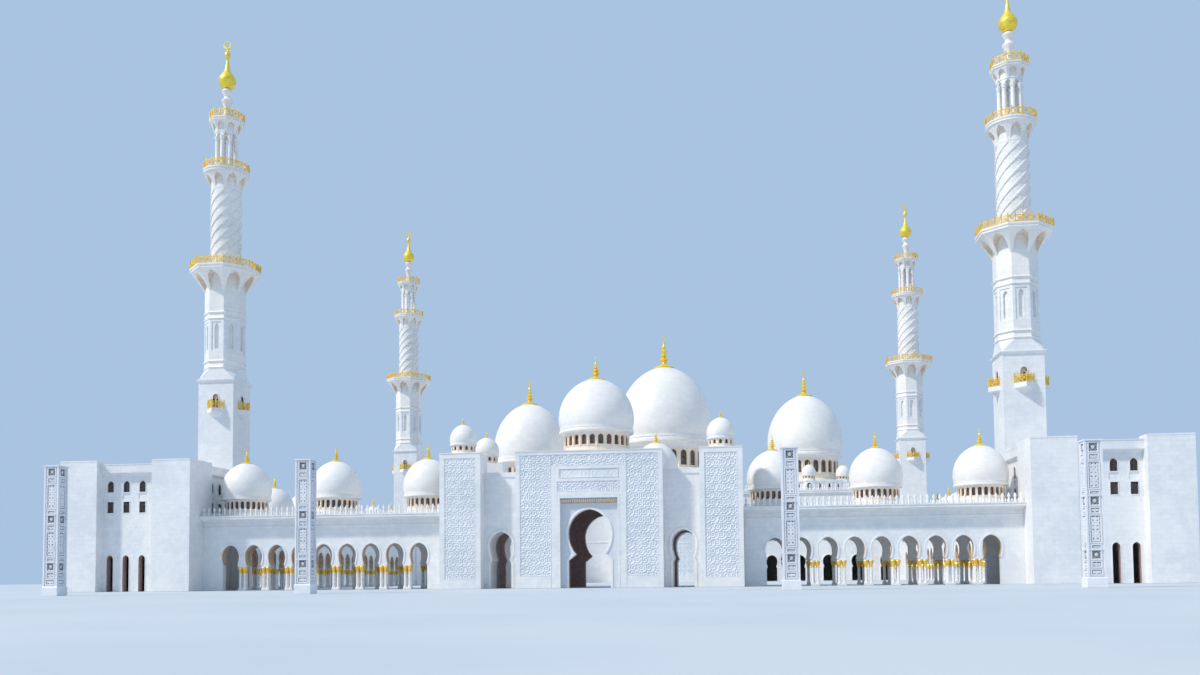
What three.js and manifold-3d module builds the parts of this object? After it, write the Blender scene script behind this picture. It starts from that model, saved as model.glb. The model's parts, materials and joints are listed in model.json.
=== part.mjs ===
// A great domed mosque with four minarets, as a 1:10 scale model.
// Sizes are metres of the real building; piece() turns them into millimetres of the model.
// X runs along the front, Y from the front to the prayer hall behind, Z up.
// X = 0 is the axis through the gate and the main dome; Y = 0 is the line of the two front minarets.
import * as THREE from 'three';
import { mergeVertices } from 'three/addons/utils/BufferGeometryUtils.js';
import { ConvexGeometry } from 'three/addons/geometries/ConvexGeometry.js';
import Module from 'manifold-3d';

const wasm = await Module();
wasm.setup();

const MODEL_MM = 100; // millimetres of the model for each metre of the building
const GAP = 0.003; // clearance between neighbouring pieces, 0.3 mm in the model
const SINK = 0.05; // how far one solid reaches into another that it is joined to
const BEYOND = 1; // how far a cutting shape reaches past the wall that it opens

// Entrance gate: a block round an open passage, with a portal in front and behind
const GATE = { half: 12.18, front: -19.4, back: 2.3, top: 22.64, wall: 2, sideWall: 1.8 };
const GATE_ROOF = { low: 21.2, high: 21.9, hole: 5 };
const PORTAL = { half: 4.75, top: 14.77, depth: 0.9 };
const PORTAL_ARCH = {
  jamb: 3.45, impost: 4.5, neck: 2.2, neckZ: 5.5, bulge: 3.5, bulgeZ: 8.9, apexZ: 12.92,
};
// Wings and towers on both sides of the gate
const WING = {
  outer: 18.12, front: -16.6, back: -0.5, wall: 4.6, top: 19.5, roofLow: 18.4, roofHigh: 18.9, archX: 15.3,
};
const WING_ARCH = { jamb: 1.75, impost: 4.1, neck: 1.45, neckZ: 4.8, bulge: 1.94, bulgeZ: 7.2, apexZ: 9.5 };
const TOWER = { outer: 25.12, depth: 5, top: 22.69, linkLow: 12, linkHigh: 12.8, domeX: 21.62 };
const DOOR_ARCH = { jamb: 1.6, impost: 3.9, neck: 1.3, neckZ: 4.4, bulge: 1.7, bulgeZ: 6, apexZ: 7.95 };

// Galleries: arched walks with domes, in front and along both sides of the court
const GALLERY = { front: -14.2, back: -2.9, wall: 1.2, cornice: 12.25, roof: 12.8, parapet: 13.6 };
const CORNICE_OUT = 0.25; // how far a roof slab stands out over the wall below
const PARAPET_WALL = 0.45;
const BAY = 4.28;
const FIRST_ARCH = 30.24;
const ARCHES = 9;
const GALLERY_ARCH = {
  jamb: 1.44, impost: 3.95, neck: 1.28, neckZ: 4.4, bulge: 1.565, bulgeZ: 6, apexZ: 7.95,
};
const GALLERY_DOMES = [30.24, 47.35, 64.33];

// Square feet of the minarets
const MINARET = { x: 73.08, front: 0, rear: 114.34, half: 3.475 };
// Corner blocks that stand round two sides of the front minarets
const CORNER = {
  inner: MINARET.x - MINARET.half, outer: 93.88, front: -19.02, back: 3.5,
  notchX: MINARET.x + MINARET.half + GAP, notchY: -MINARET.half - GAP,
};
const CORNER_TOWER = { innerEnd: 76.66, outerStart: 86.89, top: 22.98 };
const RECESS = { front: -17, wall: 1.2, top: 22.4 };
const CORNER_SLAB = { floor: 12.3, roof: 20.9, thick: 0.6 };
const WINDOW_HALF = 0.525;
const WINDOW_COLUMNS = [79.5, 82.5, 85.5]; // along the recessed front
const SIDE_WINDOWS = [-10.2, -7.2]; // along the inner side
const ARCHED_ROW = { half: WINDOW_HALF, low: 17.6, spring: 18.9, top: 19.4 };
const SQUARE_ROW = { low: 14.05, high: 15.7 };
const CORNER_DOOR = { spring: 5.7, top: 6.3 };
const GLAZING = { side: 1, low: 13.2, high: 20.2, thick: 0.12 };

// Side ranges of the court
const RANGE = { inner: 69.9, outer: 93.55, front: CORNER.back + GAP, back: 140, domeX: 81.9 };
const RANGE_BAY = 4.15;
const RANGE_ARCHES = 33;
const RANGE_DOMES = { first: 25, count: 7, bays: 4, sides: 10 };

// Minarets: a square foot, an octagonal shaft, a round shaft, an open lantern and a flared stem
const BASE_TOP = 39.75;
const OCTAGON_LOW = 41.8;
const BAND = { out: 0.16, slope: 0.2 }; // a ring moulding round the octagonal shaft
const BANDS = [[42.5, 43.9], [51.2, 52.9]];
const LOW_BALCONY = { low: 56.9, waist: 4.7, waistZ: 58.9, slab: 60.5, high: 61.4, across: 6.15 };
const ROUND = {
  radius: 2.83, corbel: 76.9, waist: 3.25, waistZ: 78.5, slab: 80, high: 80.85, balcony: 4.3, sides: 12,
};
const LANTERN = { high: 88.3, ring: 1.78, column: 0.3, count: 8, outer: 2.13 };
const TOP_BALCONY = { radius: 3.1, waist: 2.45, waistZ: 89.4, slab: 90.3, high: 90.95 };
const STEM = {
  foot: 1, neck: 0.65, flare: 1.05, tip: 0.5, neckZ: 93.6, flareZ: 95, secondNeckZ: 95.75,
  secondFlareZ: 96.8, top: 97.45,
};
const FACE_BALCONY = { half: 1.1, out: 1, low: 32.8, slab: 34.5, high: 34.95 };
const CRESCENT = { z: 106.05, outer: 0.95, inner: 0.68, lift: 0.16, half: 0.14 };

// Prayer hall
const HALL = { half: 76, front: 140, back: 205, top: 28, wall: 1.6, roofLow: 26.2, roofHigh: 27.1 };
const HALL_MIDDLE = (HALL.front + HALL.back) / 2;
const HALL_WINDOW = { half: 1.1, low: 14, spring: 19.5, top: 21.2 };
const HALL_BAYS = { pitch: 8.6, count: 6, first: 26.1 }; // doors and windows on both sides of the middle
const HALL_SIDE_BAYS = { first: HALL.front + 11, count: 6 };
const TIER = { side: 18.4, sideTop: 32.5, main: 18.8, mainTop: 37.6, sides: 16 };
const SMALL_DOMES = { ring: 16, count: 8 };
const FOYER = { front: 120, raise: 6.23, domeY: 130 };

// Free-standing carved light towers in front of the building
const LIGHT = {
  inner: 30.37, outer: 64.78, y: -61.9, half: 1.005, top: 17.06, plinthOut: 0.08, plinthTop: 1.2,
  groove: 10.96, grooveDeep: 0.12,
};
const FRONT_REACH = LIGHT.y - LIGHT.half - LIGHT.plinthOut;
const MIDDLE_Y = (FRONT_REACH + HALL.back) / 2;

// Domes: radius, height of the widest ring and of the crown, ring moulding, drum and wall
const GATE_DOME = {
  y: -8.56, radius: 6.59, widest: 29.2, top: 36.44, ringLow: 26.6, ringHigh: 27.4, base: 21.9,
  drum: 5.6, wall: 0.55, sides: 20, finialTop: 40.31, finialHalf: 0.75,
};
const GALLERY_DOME = {
  radius: 4.41, widest: 18.1, top: 23.15, ringLow: 16.2, ringHigh: 16.8, base: GALLERY.roof,
  drum: 3.76, spike: 25.75, sides: 14,
};
const SMALL_DOME = {
  radius: 2.3, widest: 25.1, top: 27.75, ringLow: 24.1, ringHigh: 24.5, base: 22.69, drum: 1.95,
  spike: 29, sides: 8,
};
const MAIN_DOME = {
  x: 0, radius: 16.4, widest: 53.2, top: 74.49, ringLow: 46.6, ringHigh: 49, base: TIER.mainTop,
  drum: 13.9, wall: 1, sides: 24, finialTop: 85.19, finialHalf: 1.7,
};
const SIDE_DOME = {
  x: 47.53, radius: 12.57, widest: 46.6, top: 63.04, ringLow: 41.4, ringHigh: 43.2,
  base: TIER.sideTop, drum: 10.7, wall: 0.9, sides: 20, finialTop: 70.97, finialHalf: 1.3,
};

const MARBLE = new THREE.MeshStandardMaterial({ color: 0xf1eadf, roughness: 0.5, metalness: 0 });
const CARVED = new THREE.MeshStandardMaterial({ color: 0xe3e5ec, roughness: 0.6, metalness: 0 });
const GOLD = new THREE.MeshStandardMaterial({ color: 0xd9a531, roughness: 0.3, metalness: 1 });
const GLASS = new THREE.MeshStandardMaterial({ color: 0x4b3324, roughness: 0.15, metalness: 0 });

const group = new THREE.Group();
group.position.y = -MIDDLE_Y * MODEL_MM;

function flipped(geometry) {
  const index = geometry.index.array;
  for (let i = 0; i < index.length; i += 3) {
    [index[i], index[i + 1]] = [index[i + 1], index[i]];
  }
  return geometry;
}

// One vertex at each corner, and no collapsed faces
function welded(geometry) {
  const bare = geometry.clone();
  bare.deleteAttribute('normal');
  bare.deleteAttribute('uv');
  const merged = mergeVertices(bare, 1e-4);
  const index = merged.index.array;
  const kept = [];
  for (let i = 0; i < index.length; i += 3) {
    const [a, b, c] = [index[i], index[i + 1], index[i + 2]];
    if (a !== b && b !== c && c !== a) kept.push(a, b, c);
  }
  merged.setIndex(kept);
  return merged;
}

function toSolid(geometry) {
  const mesh = welded(geometry);
  return new wasm.Manifold(new wasm.Mesh({
    numProp: 3,
    vertProperties: new Float32Array(mesh.attributes.position.array),
    triVerts: new Uint32Array(mesh.index.array),
  }));
}

function toGeometry(solid) {
  const mesh = solid.getMesh();
  const geometry = new THREE.BufferGeometry();
  geometry.setAttribute('position', new THREE.Float32BufferAttribute(mesh.vertProperties, 3));
  geometry.setIndex(Array.from(mesh.triVerts));
  return geometry;
}

function join(...parts) {
  return toGeometry(parts.map(toSolid).reduce((whole, next) => whole.add(next)));
}

function cut(body, ...tools) {
  return toGeometry(tools.map(toSolid).reduce((whole, next) => whole.subtract(next), toSolid(body)));
}

function mirrored(geometry) {
  const copy = welded(geometry);
  copy.scale(-1, 1, 1);
  return flipped(copy);
}

function piece(name, geometry, material, x = 0, y = 0) {
  const sized = welded(geometry);
  sized.scale(MODEL_MM, MODEL_MM, MODEL_MM);
  sized.computeVertexNormals();
  const mesh = new THREE.Mesh(sized, material);
  mesh.name = name;
  mesh.position.set(x * MODEL_MM, y * MODEL_MM, 0);
  group.add(mesh);
}

// A piece for the right side and its mirror image for the left side
function pair(name, geometry, material) {
  piece(`${name}_right`, geometry, material);
  piece(`${name}_left`, mirrored(geometry), material);
}

function outline(points) {
  return new THREE.Shape(points.map(([u, v]) => new THREE.Vector2(u, v)));
}

function rectangle(u0, v0, u1, v1) {
  return [[u0, v0], [u1, v0], [u1, v1], [u0, v1]];
}

function ring(radius, sides, u = 0, v = 0) {
  return Array.from({ length: sides }, (_, i) => {
    const turn = (2 * Math.PI * i) / sides;
    return [u + radius * Math.cos(turn), v + radius * Math.sin(turn)];
  });
}

function extruded(points, depth, holes) {
  const shape = outline(points);
  shape.holes = holes.map(outline);
  return new THREE.ExtrudeGeometry(shape, { depth, bevelEnabled: false, steps: 1 });
}

// A plan shape carried up from one height to another
function upright(points, low, high, holes = []) {
  return extruded(points, high - low, holes).translate(0, 0, low);
}

// An elevation shape in X and Z, as a wall between two Y planes
function wallAlongX(points, front, back, holes = []) {
  return extruded(points, back - front, holes).rotateX(Math.PI / 2).translate(0, back, 0);
}

// An elevation shape in Y and Z, as a wall between two X planes
function wallAlongY(points, left, right) {
  return extruded(points, right - left, [])
    .rotateX(Math.PI / 2).rotateZ(Math.PI / 2).translate(left, 0, 0);
}

function turned(profile, sides, start = 0) {
  const points = profile.map(([radius, z]) => new THREE.Vector2(radius, z));
  return new THREE.LatheGeometry(points, sides, start).rotateX(Math.PI / 2);
}

// The curve of a horseshoe arch from its right neck over the apex to its left neck:
// below the widest level an ellipse narrows to the neck, above it the curve closes to a point.
function archCurve(arch, lowSteps, highSteps) {
  const drop = (arch.bulgeZ - arch.neckZ) / Math.sqrt(1 - (arch.neck / arch.bulge) ** 2);
  const lowest = Math.asin((arch.bulgeZ - arch.neckZ) / drop);
  const right = [];
  for (let i = 0; i < lowSteps; i += 1) {
    const angle = -lowest * (1 - i / lowSteps);
    right.push([arch.bulge * Math.cos(angle), arch.bulgeZ + drop * Math.sin(angle)]);
  }
  for (let i = 0; i < highSteps; i += 1) {
    const angle = (Math.PI / 2) * (i / highSteps);
    right.push([arch.bulge * Math.cos(angle), arch.bulgeZ + pointed(angle, arch.apexZ - arch.bulgeZ)]);
  }
  const left = right.map(([u, v]) => [-u, v]).reverse();
  return [...right, [0, arch.apexZ], ...left];
}

// Height along a slightly pointed quarter curve
function pointed(angle, rise) {
  const point = 0.14;
  return rise * ((1 - point) * Math.sin(angle) + point * (angle / (Math.PI / 2)));
}

// An arch opening from the ground: jambs, imposts and the horseshoe above, left jamb first
function archNotch(arch, centre, detail) {
  const curve = archCurve(arch, detail.low, detail.high).reverse();
  const impost = detail.impost ? [[arch.jamb, arch.impost]] : [];
  const left = [[-arch.jamb, 0], ...impost.map(([u, v]) => [-u, v])];
  const right = [...impost, [arch.jamb, 0]];
  return [...left, ...curve, ...right].map(([u, v]) => [centre + u, v]);
}

const FINE = { low: 2, high: 4, impost: true };
const PLAIN = { low: 1, high: 3, impost: true };
const COARSE = { low: 0, high: 2, impost: false };

// A wall elevation with a row of arch openings along its foot
function arcade(start, end, top, arch, centres, detail) {
  const openings = centres.flatMap((centre) => archNotch(arch, centre, detail));
  return [[start, 0], ...openings, [end, 0], [end, top], [start, top]];
}

function row(first, pitch, count) {
  return Array.from({ length: count }, (_, i) => first + pitch * i);
}

// A window outline with a pointed head
function archedWindow(centre, { half, low, spring, top }) {
  return [
    [centre - half, low], [centre + half, low], [centre + half, spring], [centre, top],
    [centre - half, spring],
  ];
}

// Outer profile of a dome on its drum, from the foot of the drum up to the crown or spike
function domeOutside(dome, lowSteps, highSteps) {
  const neck = dome.radius * 0.955;
  const drop = (dome.widest - dome.ringHigh) / Math.sqrt(1 - (neck / dome.radius) ** 2);
  const lowest = Math.asin((dome.widest - dome.ringHigh) / drop);
  const shell = [];
  for (let i = 0; i < lowSteps; i += 1) {
    const angle = -lowest * (1 - i / lowSteps);
    shell.push([dome.radius * Math.cos(angle), dome.widest + drop * Math.sin(angle)]);
  }
  for (let i = 0; i < highSteps; i += 1) {
    const angle = (Math.PI / 2) * (i / highSteps);
    shell.push([dome.radius * Math.cos(angle), dome.widest + pointed(angle, dome.top - dome.widest)]);
  }
  const lip = dome.radius * 0.985;
  return [
    [dome.drum, dome.base], [dome.drum, dome.ringLow], [lip, dome.ringLow + 0.1 * (lip - dome.drum)],
    [lip, dome.ringHigh], ...shell,
  ];
}

// A hollow dome and drum, open below
function hollowDome(dome) {
  const inner = [];
  const steps = 4;
  for (let i = 0; i <= steps; i += 1) {
    const angle = (Math.PI / 2) * (1 - i / steps);
    const radius = (dome.radius - dome.wall) * Math.cos(angle);
    inner.push([i === 0 ? 0 : radius, dome.widest + pointed(angle, dome.top - dome.wall - dome.widest)]);
  }
  const hall = dome.drum - dome.wall;
  const outside = [...domeOutside(dome, 1, 6), [0, dome.top]];
  outside[0] = [dome.drum, dome.base + GAP];
  const loop = [...outside, ...inner, [hall, dome.ringLow], [hall, dome.base + GAP], outside[0]];
  return turned(loop, dome.sides);
}

// A solid dome with its spike, sunk a little into the roof that carries it
function solidDome(dome, highSteps) {
  const profile = domeOutside(dome, 1, highSteps);
  profile[0] = [dome.drum, dome.base - SINK];
  const crown = [[dome.radius * 0.07, dome.top], [0, dome.spike]];
  return turned([[0, dome.base - SINK], ...profile, ...crown], dome.sides);
}

// A dome that few faces show: the foot of its drum at z = 0, the widest ring, the shoulder and the crown
function roughDome({ drum, radius, base, widest, top }, spike, sides) {
  const shoulder = [radius * 0.7, (widest + 2 * top) / 3 - base];
  const crown = [[radius * 0.08, top - base], [0, spike - base]];
  return turned([[0, -SINK], [drum, -SINK], [radius, widest - base], shoulder, ...crown], sides);
}

// A dome's finial: a cap, stacked beads and a spike
function finial({ top, finialTop, finialHalf }) {
  const foot = top + GAP;
  const beads = [
    [0, 0], [1, 0], [0.8, 0.1], [0.3, 0.2], [0.42, 0.3], [0.2, 0.4], [0.34, 0.52], [0.14, 0.62],
    [0.2, 0.7], [0.06, 0.8], [0, 1],
  ];
  return turned(beads.map(([r, h]) => [r * finialHalf, foot + h * (finialTop - foot)]), 8);
}

// A portal wall: a rectangular recess in the outer layer, a horseshoe arch through the inner one
function portalWall(outerFront, outerBack, innerFront, innerBack, top) {
  const outer = [
    [-GATE.half, 0], [-PORTAL.half, 0], [-PORTAL.half, PORTAL.top], [PORTAL.half, PORTAL.top],
    [PORTAL.half, 0], [GATE.half, 0], [GATE.half, top], [-GATE.half, top],
  ];
  const inner = arcade(-GATE.half, GATE.half, top, PORTAL_ARCH, [0], FINE);
  return join(wallAlongX(outer, outerFront, outerBack), wallAlongX(inner, innerFront, innerBack));
}

function gate() {
  const { front, back, wall, half, top, sideWall } = GATE;
  const step = PORTAL.depth;
  piece('gate_front_wall', portalWall(front, front + step, front + step, front + wall, top), CARVED);
  piece('gate_rear_wall', portalWall(back - step, back, back - wall, back - step, top), CARVED);
  const inFront = front + wall + GAP;
  const inBack = back - wall - GAP;
  const side = arcade(inFront, inBack, top, DOOR_ARCH, [GATE_DOME.y], FINE);
  pair('gate_side_wall', wallAlongY(side, half - sideWall, half), MARBLE);
  const reach = half - sideWall - GAP;
  const plan = rectangle(-reach, inFront, reach, inBack);
  const hole = ring(GATE_ROOF.hole, GATE_DOME.sides, 0, GATE_DOME.y);
  piece('gate_roof', upright(plan, GATE_ROOF.low, GATE_ROOF.high, [hole]), MARBLE);
  piece('gate_dome', hollowDome(GATE_DOME), MARBLE, 0, GATE_DOME.y);
  piece('gate_finial', finial(GATE_DOME), GOLD, 0, GATE_DOME.y);
}

// Arched wings and the domed towers between the gate and the galleries
function gateSides() {
  const wingArch = arcade(GATE.half + GAP, WING.outer, WING.top, WING_ARCH, [WING.archX], FINE);
  const wingRoof = rectangle(GATE.half + GAP, WING.front + SINK, WING.outer, WING.back - SINK);
  pair('gate_wing', join(
    wallAlongX(wingArch, WING.front, WING.front + WING.wall),
    wallAlongX(wingArch, WING.back - WING.wall, WING.back),
    upright(wingRoof, WING.roofLow, WING.roofHigh),
  ), MARBLE);
  const start = WING.outer + GAP;
  const plan = (y0, y1) => rectangle(start, y0, TOWER.outer, y1);
  const dome = (y) => solidDome(SMALL_DOME, 4).translate(TOWER.domeX, y, 0);
  pair('gate_tower', join(
    upright(plan(GATE.front, GATE.front + TOWER.depth), 0, TOWER.top),
    upright(plan(GATE.back - TOWER.depth, GATE.back), 0, TOWER.top),
    upright(plan(GATE.front + SINK, GATE.back - SINK), TOWER.linkLow, TOWER.linkHigh),
    dome(GATE.front + TOWER.depth / 2),
    dome(GATE.back - TOWER.depth / 2),
  ), MARBLE);
}

// A roof slab over the plan outline, with a low parapet wall along its edge
function parapetRoof(plan, inset, low, high, top) {
  return join(upright(plan, low, high), upright(plan, high - SINK, top, [inset]));
}

function frontGalleries() {
  const start = TOWER.outer + GAP;
  const end = CORNER.inner - GAP;
  const wallTop = GALLERY.cornice - GAP;
  const elevation = arcade(start, end, wallTop, GALLERY_ARCH, row(FIRST_ARCH, BAY, ARCHES), PLAIN);
  pair('front_gallery_front_arcade',
    wallAlongX(elevation, GALLERY.front, GALLERY.front + GALLERY.wall), MARBLE);
  pair('front_gallery_court_arcade',
    wallAlongX(elevation, GALLERY.back - GALLERY.wall, GALLERY.back), MARBLE);
  const y0 = GALLERY.front - CORNICE_OUT;
  const y1 = GALLERY.back + CORNICE_OUT;
  const plan = rectangle(start, y0, end, y1);
  const inset = rectangle(start + PARAPET_WALL, y0 + PARAPET_WALL, end - PARAPET_WALL, y1 - PARAPET_WALL);
  const middle = (GALLERY.front + GALLERY.back) / 2;
  const domes = GALLERY_DOMES.map((x) => solidDome(GALLERY_DOME, 4).translate(x, middle, 0));
  pair('front_gallery_roof', join(
    parapetRoof(plan, inset, GALLERY.cornice, GALLERY.roof, GALLERY.parapet), ...domes), MARBLE);
}

// The arched window and the square window below it, at each centre
function windowPairs(centres) {
  return centres.flatMap((u) => [
    archedWindow(u, ARCHED_ROW), rectangle(u - WINDOW_HALF, SQUARE_ROW.low, u + WINDOW_HALF, SQUARE_ROW.high),
  ]);
}

function cornerBlocks() {
  const { inner, outer, front, back, notchX, notchY } = CORNER;
  const wall = RECESS.wall;
  const recessBack = RECESS.front + wall;
  const doors = WINDOW_COLUMNS.flatMap((x) => [
    [x - WINDOW_HALF, 0], [x - WINDOW_HALF, CORNER_DOOR.spring], [x, CORNER_DOOR.top],
    [x + WINDOW_HALF, CORNER_DOOR.spring], [x + WINDOW_HALF, 0],
  ]);
  const from = CORNER_TOWER.innerEnd - SINK;
  const to = CORNER_TOWER.outerStart + SINK;
  const recess = [[from, 0], ...doors, [to, 0], [to, RECESS.top], [from, RECESS.top]];
  const towerWall = (x0, x1) => upright(rectangle(x0, front, x1, recessBack), 0, CORNER_TOWER.top);
  const windows = windowPairs(WINDOW_COLUMNS)
    .map((hole) => wallAlongX(hole, RECESS.front - BEYOND, recessBack + BEYOND));
  pair('corner_front_wall', cut(join(
    wallAlongX(recess, RECESS.front, recessBack),
    towerWall(inner, CORNER_TOWER.innerEnd), towerWall(CORNER_TOWER.outerStart, outer),
  ), ...windows), MARBLE);

  const bodyFront = recessBack + GAP;
  const plan = [
    [inner, bodyFront], [outer, bodyFront], [outer, back], [notchX, back], [notchX, notchY],
    [inner, notchY],
  ];
  const room = [
    [inner + wall, bodyFront - BEYOND], [outer - wall, bodyFront - BEYOND], [outer - wall, back - wall],
    [notchX + wall, back - wall], [notchX + wall, notchY - wall], [inner + wall, notchY - wall],
  ];
  const rooms = [
    upright(room, -BEYOND, CORNER_SLAB.floor),
    upright(room, CORNER_SLAB.floor + CORNER_SLAB.thick, CORNER_SLAB.roof),
    upright(room, CORNER_SLAB.roof + CORNER_SLAB.thick, RECESS.top + BEYOND),
  ];
  const sideWindows = windowPairs(SIDE_WINDOWS)
    .map((hole) => wallAlongY(hole, inner - BEYOND, inner + wall + BEYOND));
  pair('corner_block', cut(upright(plan, 0, RECESS.top), ...rooms, ...sideWindows), MARBLE);

  const sheet = rectangle(
    CORNER_TOWER.innerEnd + GLAZING.side, GLAZING.low, CORNER_TOWER.outerStart - GLAZING.side, GLAZING.high);
  const sheetFront = bodyFront + GAP;
  pair('corner_window_glass', wallAlongX(sheet, sheetFront, sheetFront + GLAZING.thick), GLASS);
}

function sideRanges() {
  const { inner, outer, front, back } = RANGE;
  const wall = GALLERY.wall;
  const wallTop = GALLERY.cornice - GAP;
  const firstArch = RANGE_DOMES.first - 4.5 * RANGE_BAY;
  const arches = row(firstArch, RANGE_BAY, RANGE_ARCHES).filter((y) => y + BAY / 2 < back);
  pair('side_range_outer_arcade', wallAlongY(
    arcade(front, back - GAP, wallTop, GALLERY_ARCH, arches, COARSE), outer - wall, outer), MARBLE);
  const notchFront = MINARET.rear - MINARET.half - GAP;
  const notchBack = MINARET.rear + MINARET.half + GAP;
  const clear = (y, y0, y1) => y - BAY / 2 > y0 && y + BAY / 2 < y1;
  const nearArches = arches.filter((y) => clear(y, front, notchFront));
  const farArches = arches.filter((y) => clear(y, notchBack, back));
  const jog = CORNER.notchX;
  const start = inner + wall - SINK;
  pair('side_range_court_arcade', join(
    wallAlongY(arcade(front, notchFront, wallTop, GALLERY_ARCH, nearArches, COARSE), inner, inner + wall),
    wallAlongY(arcade(notchBack, back - GAP, wallTop, GALLERY_ARCH, farArches, COARSE), inner, inner + wall),
    upright([
      [start, notchFront - wall], [jog + wall, notchFront - wall], [jog + wall, notchBack + wall],
      [start, notchBack + wall], [start, notchBack], [jog, notchBack], [jog, notchFront], [start, notchFront],
    ], 0, wallTop),
  ), MARBLE);

  const rim = PARAPET_WALL;
  const plan = [
    [inner, front], [outer + CORNICE_OUT, front], [outer + CORNICE_OUT, back - GAP], [inner, back - GAP],
    [inner, notchBack], [jog, notchBack], [jog, notchFront], [inner, notchFront],
  ];
  const inset = [
    [inner + rim, front + rim], [outer + CORNICE_OUT - rim, front + rim],
    [outer + CORNICE_OUT - rim, back - rim], [inner + rim, back - rim], [inner + rim, notchBack + rim],
    [jog + rim, notchBack + rim], [jog + rim, notchFront - rim], [inner + rim, notchFront - rim],
  ];
  const dome = roughDome(GALLERY_DOME, GALLERY_DOME.spike, RANGE_DOMES.sides);
  const domes = row(RANGE_DOMES.first, RANGE_BAY * RANGE_DOMES.bays, RANGE_DOMES.count)
    .map((y) => dome.clone().translate(RANGE.domeX, y, GALLERY_DOME.base));
  pair('side_range_roof', join(
    parapetRoof(plan, inset, GALLERY.cornice, GALLERY.roof, GALLERY.parapet), ...domes), MARBLE);
}

// Corner points of a square or an octagon with flat sides facing the axes, at height z
function polygon(half, sides, z) {
  const radius = half / Math.cos(Math.PI / sides);
  return ring(radius, sides).map(([x, y]) => {
    const turn = Math.PI / sides;
    return new THREE.Vector3(
      x * Math.cos(turn) - y * Math.sin(turn), x * Math.sin(turn) + y * Math.cos(turn), z);
  });
}

function minaretTower() {
  const { half } = MINARET;
  const base = upright(rectangle(-half, -half, half, half), 0, BASE_TOP);
  const broach = new ConvexGeometry([...polygon(half, 4, BASE_TOP), ...polygon(half, 8, OCTAGON_LOW)]);
  const eighth = Math.PI / 8;
  const corner = 1 / Math.cos(eighth);
  const bands = BANDS.flatMap(([low, high]) => [
    [half, low], [half + BAND.out, low + BAND.slope], [half + BAND.out, high - BAND.slope], [half, high],
  ]);
  const octagon = turned([
    [0, OCTAGON_LOW], [half, OCTAGON_LOW], ...bands, [half, LOW_BALCONY.low],
    [LOW_BALCONY.waist, LOW_BALCONY.waistZ], [LOW_BALCONY.across, LOW_BALCONY.slab],
    [LOW_BALCONY.across, LOW_BALCONY.high], [0, LOW_BALCONY.high],
  ].map(([r, z]) => [r * corner, z]), 8, eighth);
  const round = turned([
    [0, LOW_BALCONY.high - SINK], [ROUND.radius, LOW_BALCONY.high - SINK], [ROUND.radius, ROUND.corbel],
    [ROUND.waist, ROUND.waistZ], [ROUND.balcony, ROUND.slab], [ROUND.balcony, ROUND.high], [0, ROUND.high],
  ], ROUND.sides);
  const column = upright(ring(LANTERN.column, 4), ROUND.high - SINK, LANTERN.high + SINK);
  const columns = ring(LANTERN.ring, LANTERN.count).map(([x, y]) => column.clone().translate(x, y, 0));
  const crown = turned([
    [0, LANTERN.high], [LANTERN.outer, LANTERN.high], [TOP_BALCONY.waist, TOP_BALCONY.waistZ],
    [TOP_BALCONY.radius, TOP_BALCONY.slab], [TOP_BALCONY.radius, TOP_BALCONY.high],
    [STEM.foot, TOP_BALCONY.high], [STEM.neck, STEM.neckZ], [STEM.flare, STEM.flareZ],
    [STEM.neck, STEM.secondNeckZ], [STEM.flare, STEM.secondFlareZ], [STEM.tip, STEM.top], [0, STEM.top],
  ], 8);
  const { low, slab, high } = FACE_BALCONY;
  const bracket = new ConvexGeometry([
    new THREE.Vector3(half - SINK, 0, low),
    ...[-FACE_BALCONY.half, FACE_BALCONY.half].flatMap((y) => [
      new THREE.Vector3(half - SINK, y, slab), new THREE.Vector3(half + FACE_BALCONY.out, y, slab),
      new THREE.Vector3(half - SINK, y, high), new THREE.Vector3(half + FACE_BALCONY.out, y, high),
    ]),
  ]);
  const brackets = [0, 1, 2, 3].map((side) => bracket.clone().rotateZ(side * Math.PI / 2));
  return join(base, broach, octagon, round, ...columns, crown, ...brackets);
}

// A gold teardrop on the minaret's tip, with a crescent that closes to a ring
function minaretFinial() {
  const start = STEM.top + GAP;
  const drop = turned([
    [0, start], [0.6, start], [1.4, 98.1], [1.62, 98.9], [1.35, 99.8], [0.75, 100.6], [0.3, 102.2],
    [0.18, 104], [0.42, 104.35], [0.1, 104.8], [0, 105.3],
  ], 8);
  const outer = ring(CRESCENT.outer, 12, 0, CRESCENT.z);
  const inner = ring(CRESCENT.inner, 8, 0, CRESCENT.z + CRESCENT.lift);
  return join(drop, wallAlongX(outer, -CRESCENT.half, CRESCENT.half, [inner]));
}

function minarets() {
  const tower = minaretTower();
  const tip = minaretFinial();
  for (const [depth, y] of [['front', MINARET.front], ['rear', MINARET.rear]]) {
    for (const [side, x] of [['right', MINARET.x], ['left', -MINARET.x]]) {
      piece(`minaret_${depth}_${side}`, tower, MARBLE, x, y);
      piece(`minaret_finial_${depth}_${side}`, tip, GOLD, x, y);
    }
  }
}

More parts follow.
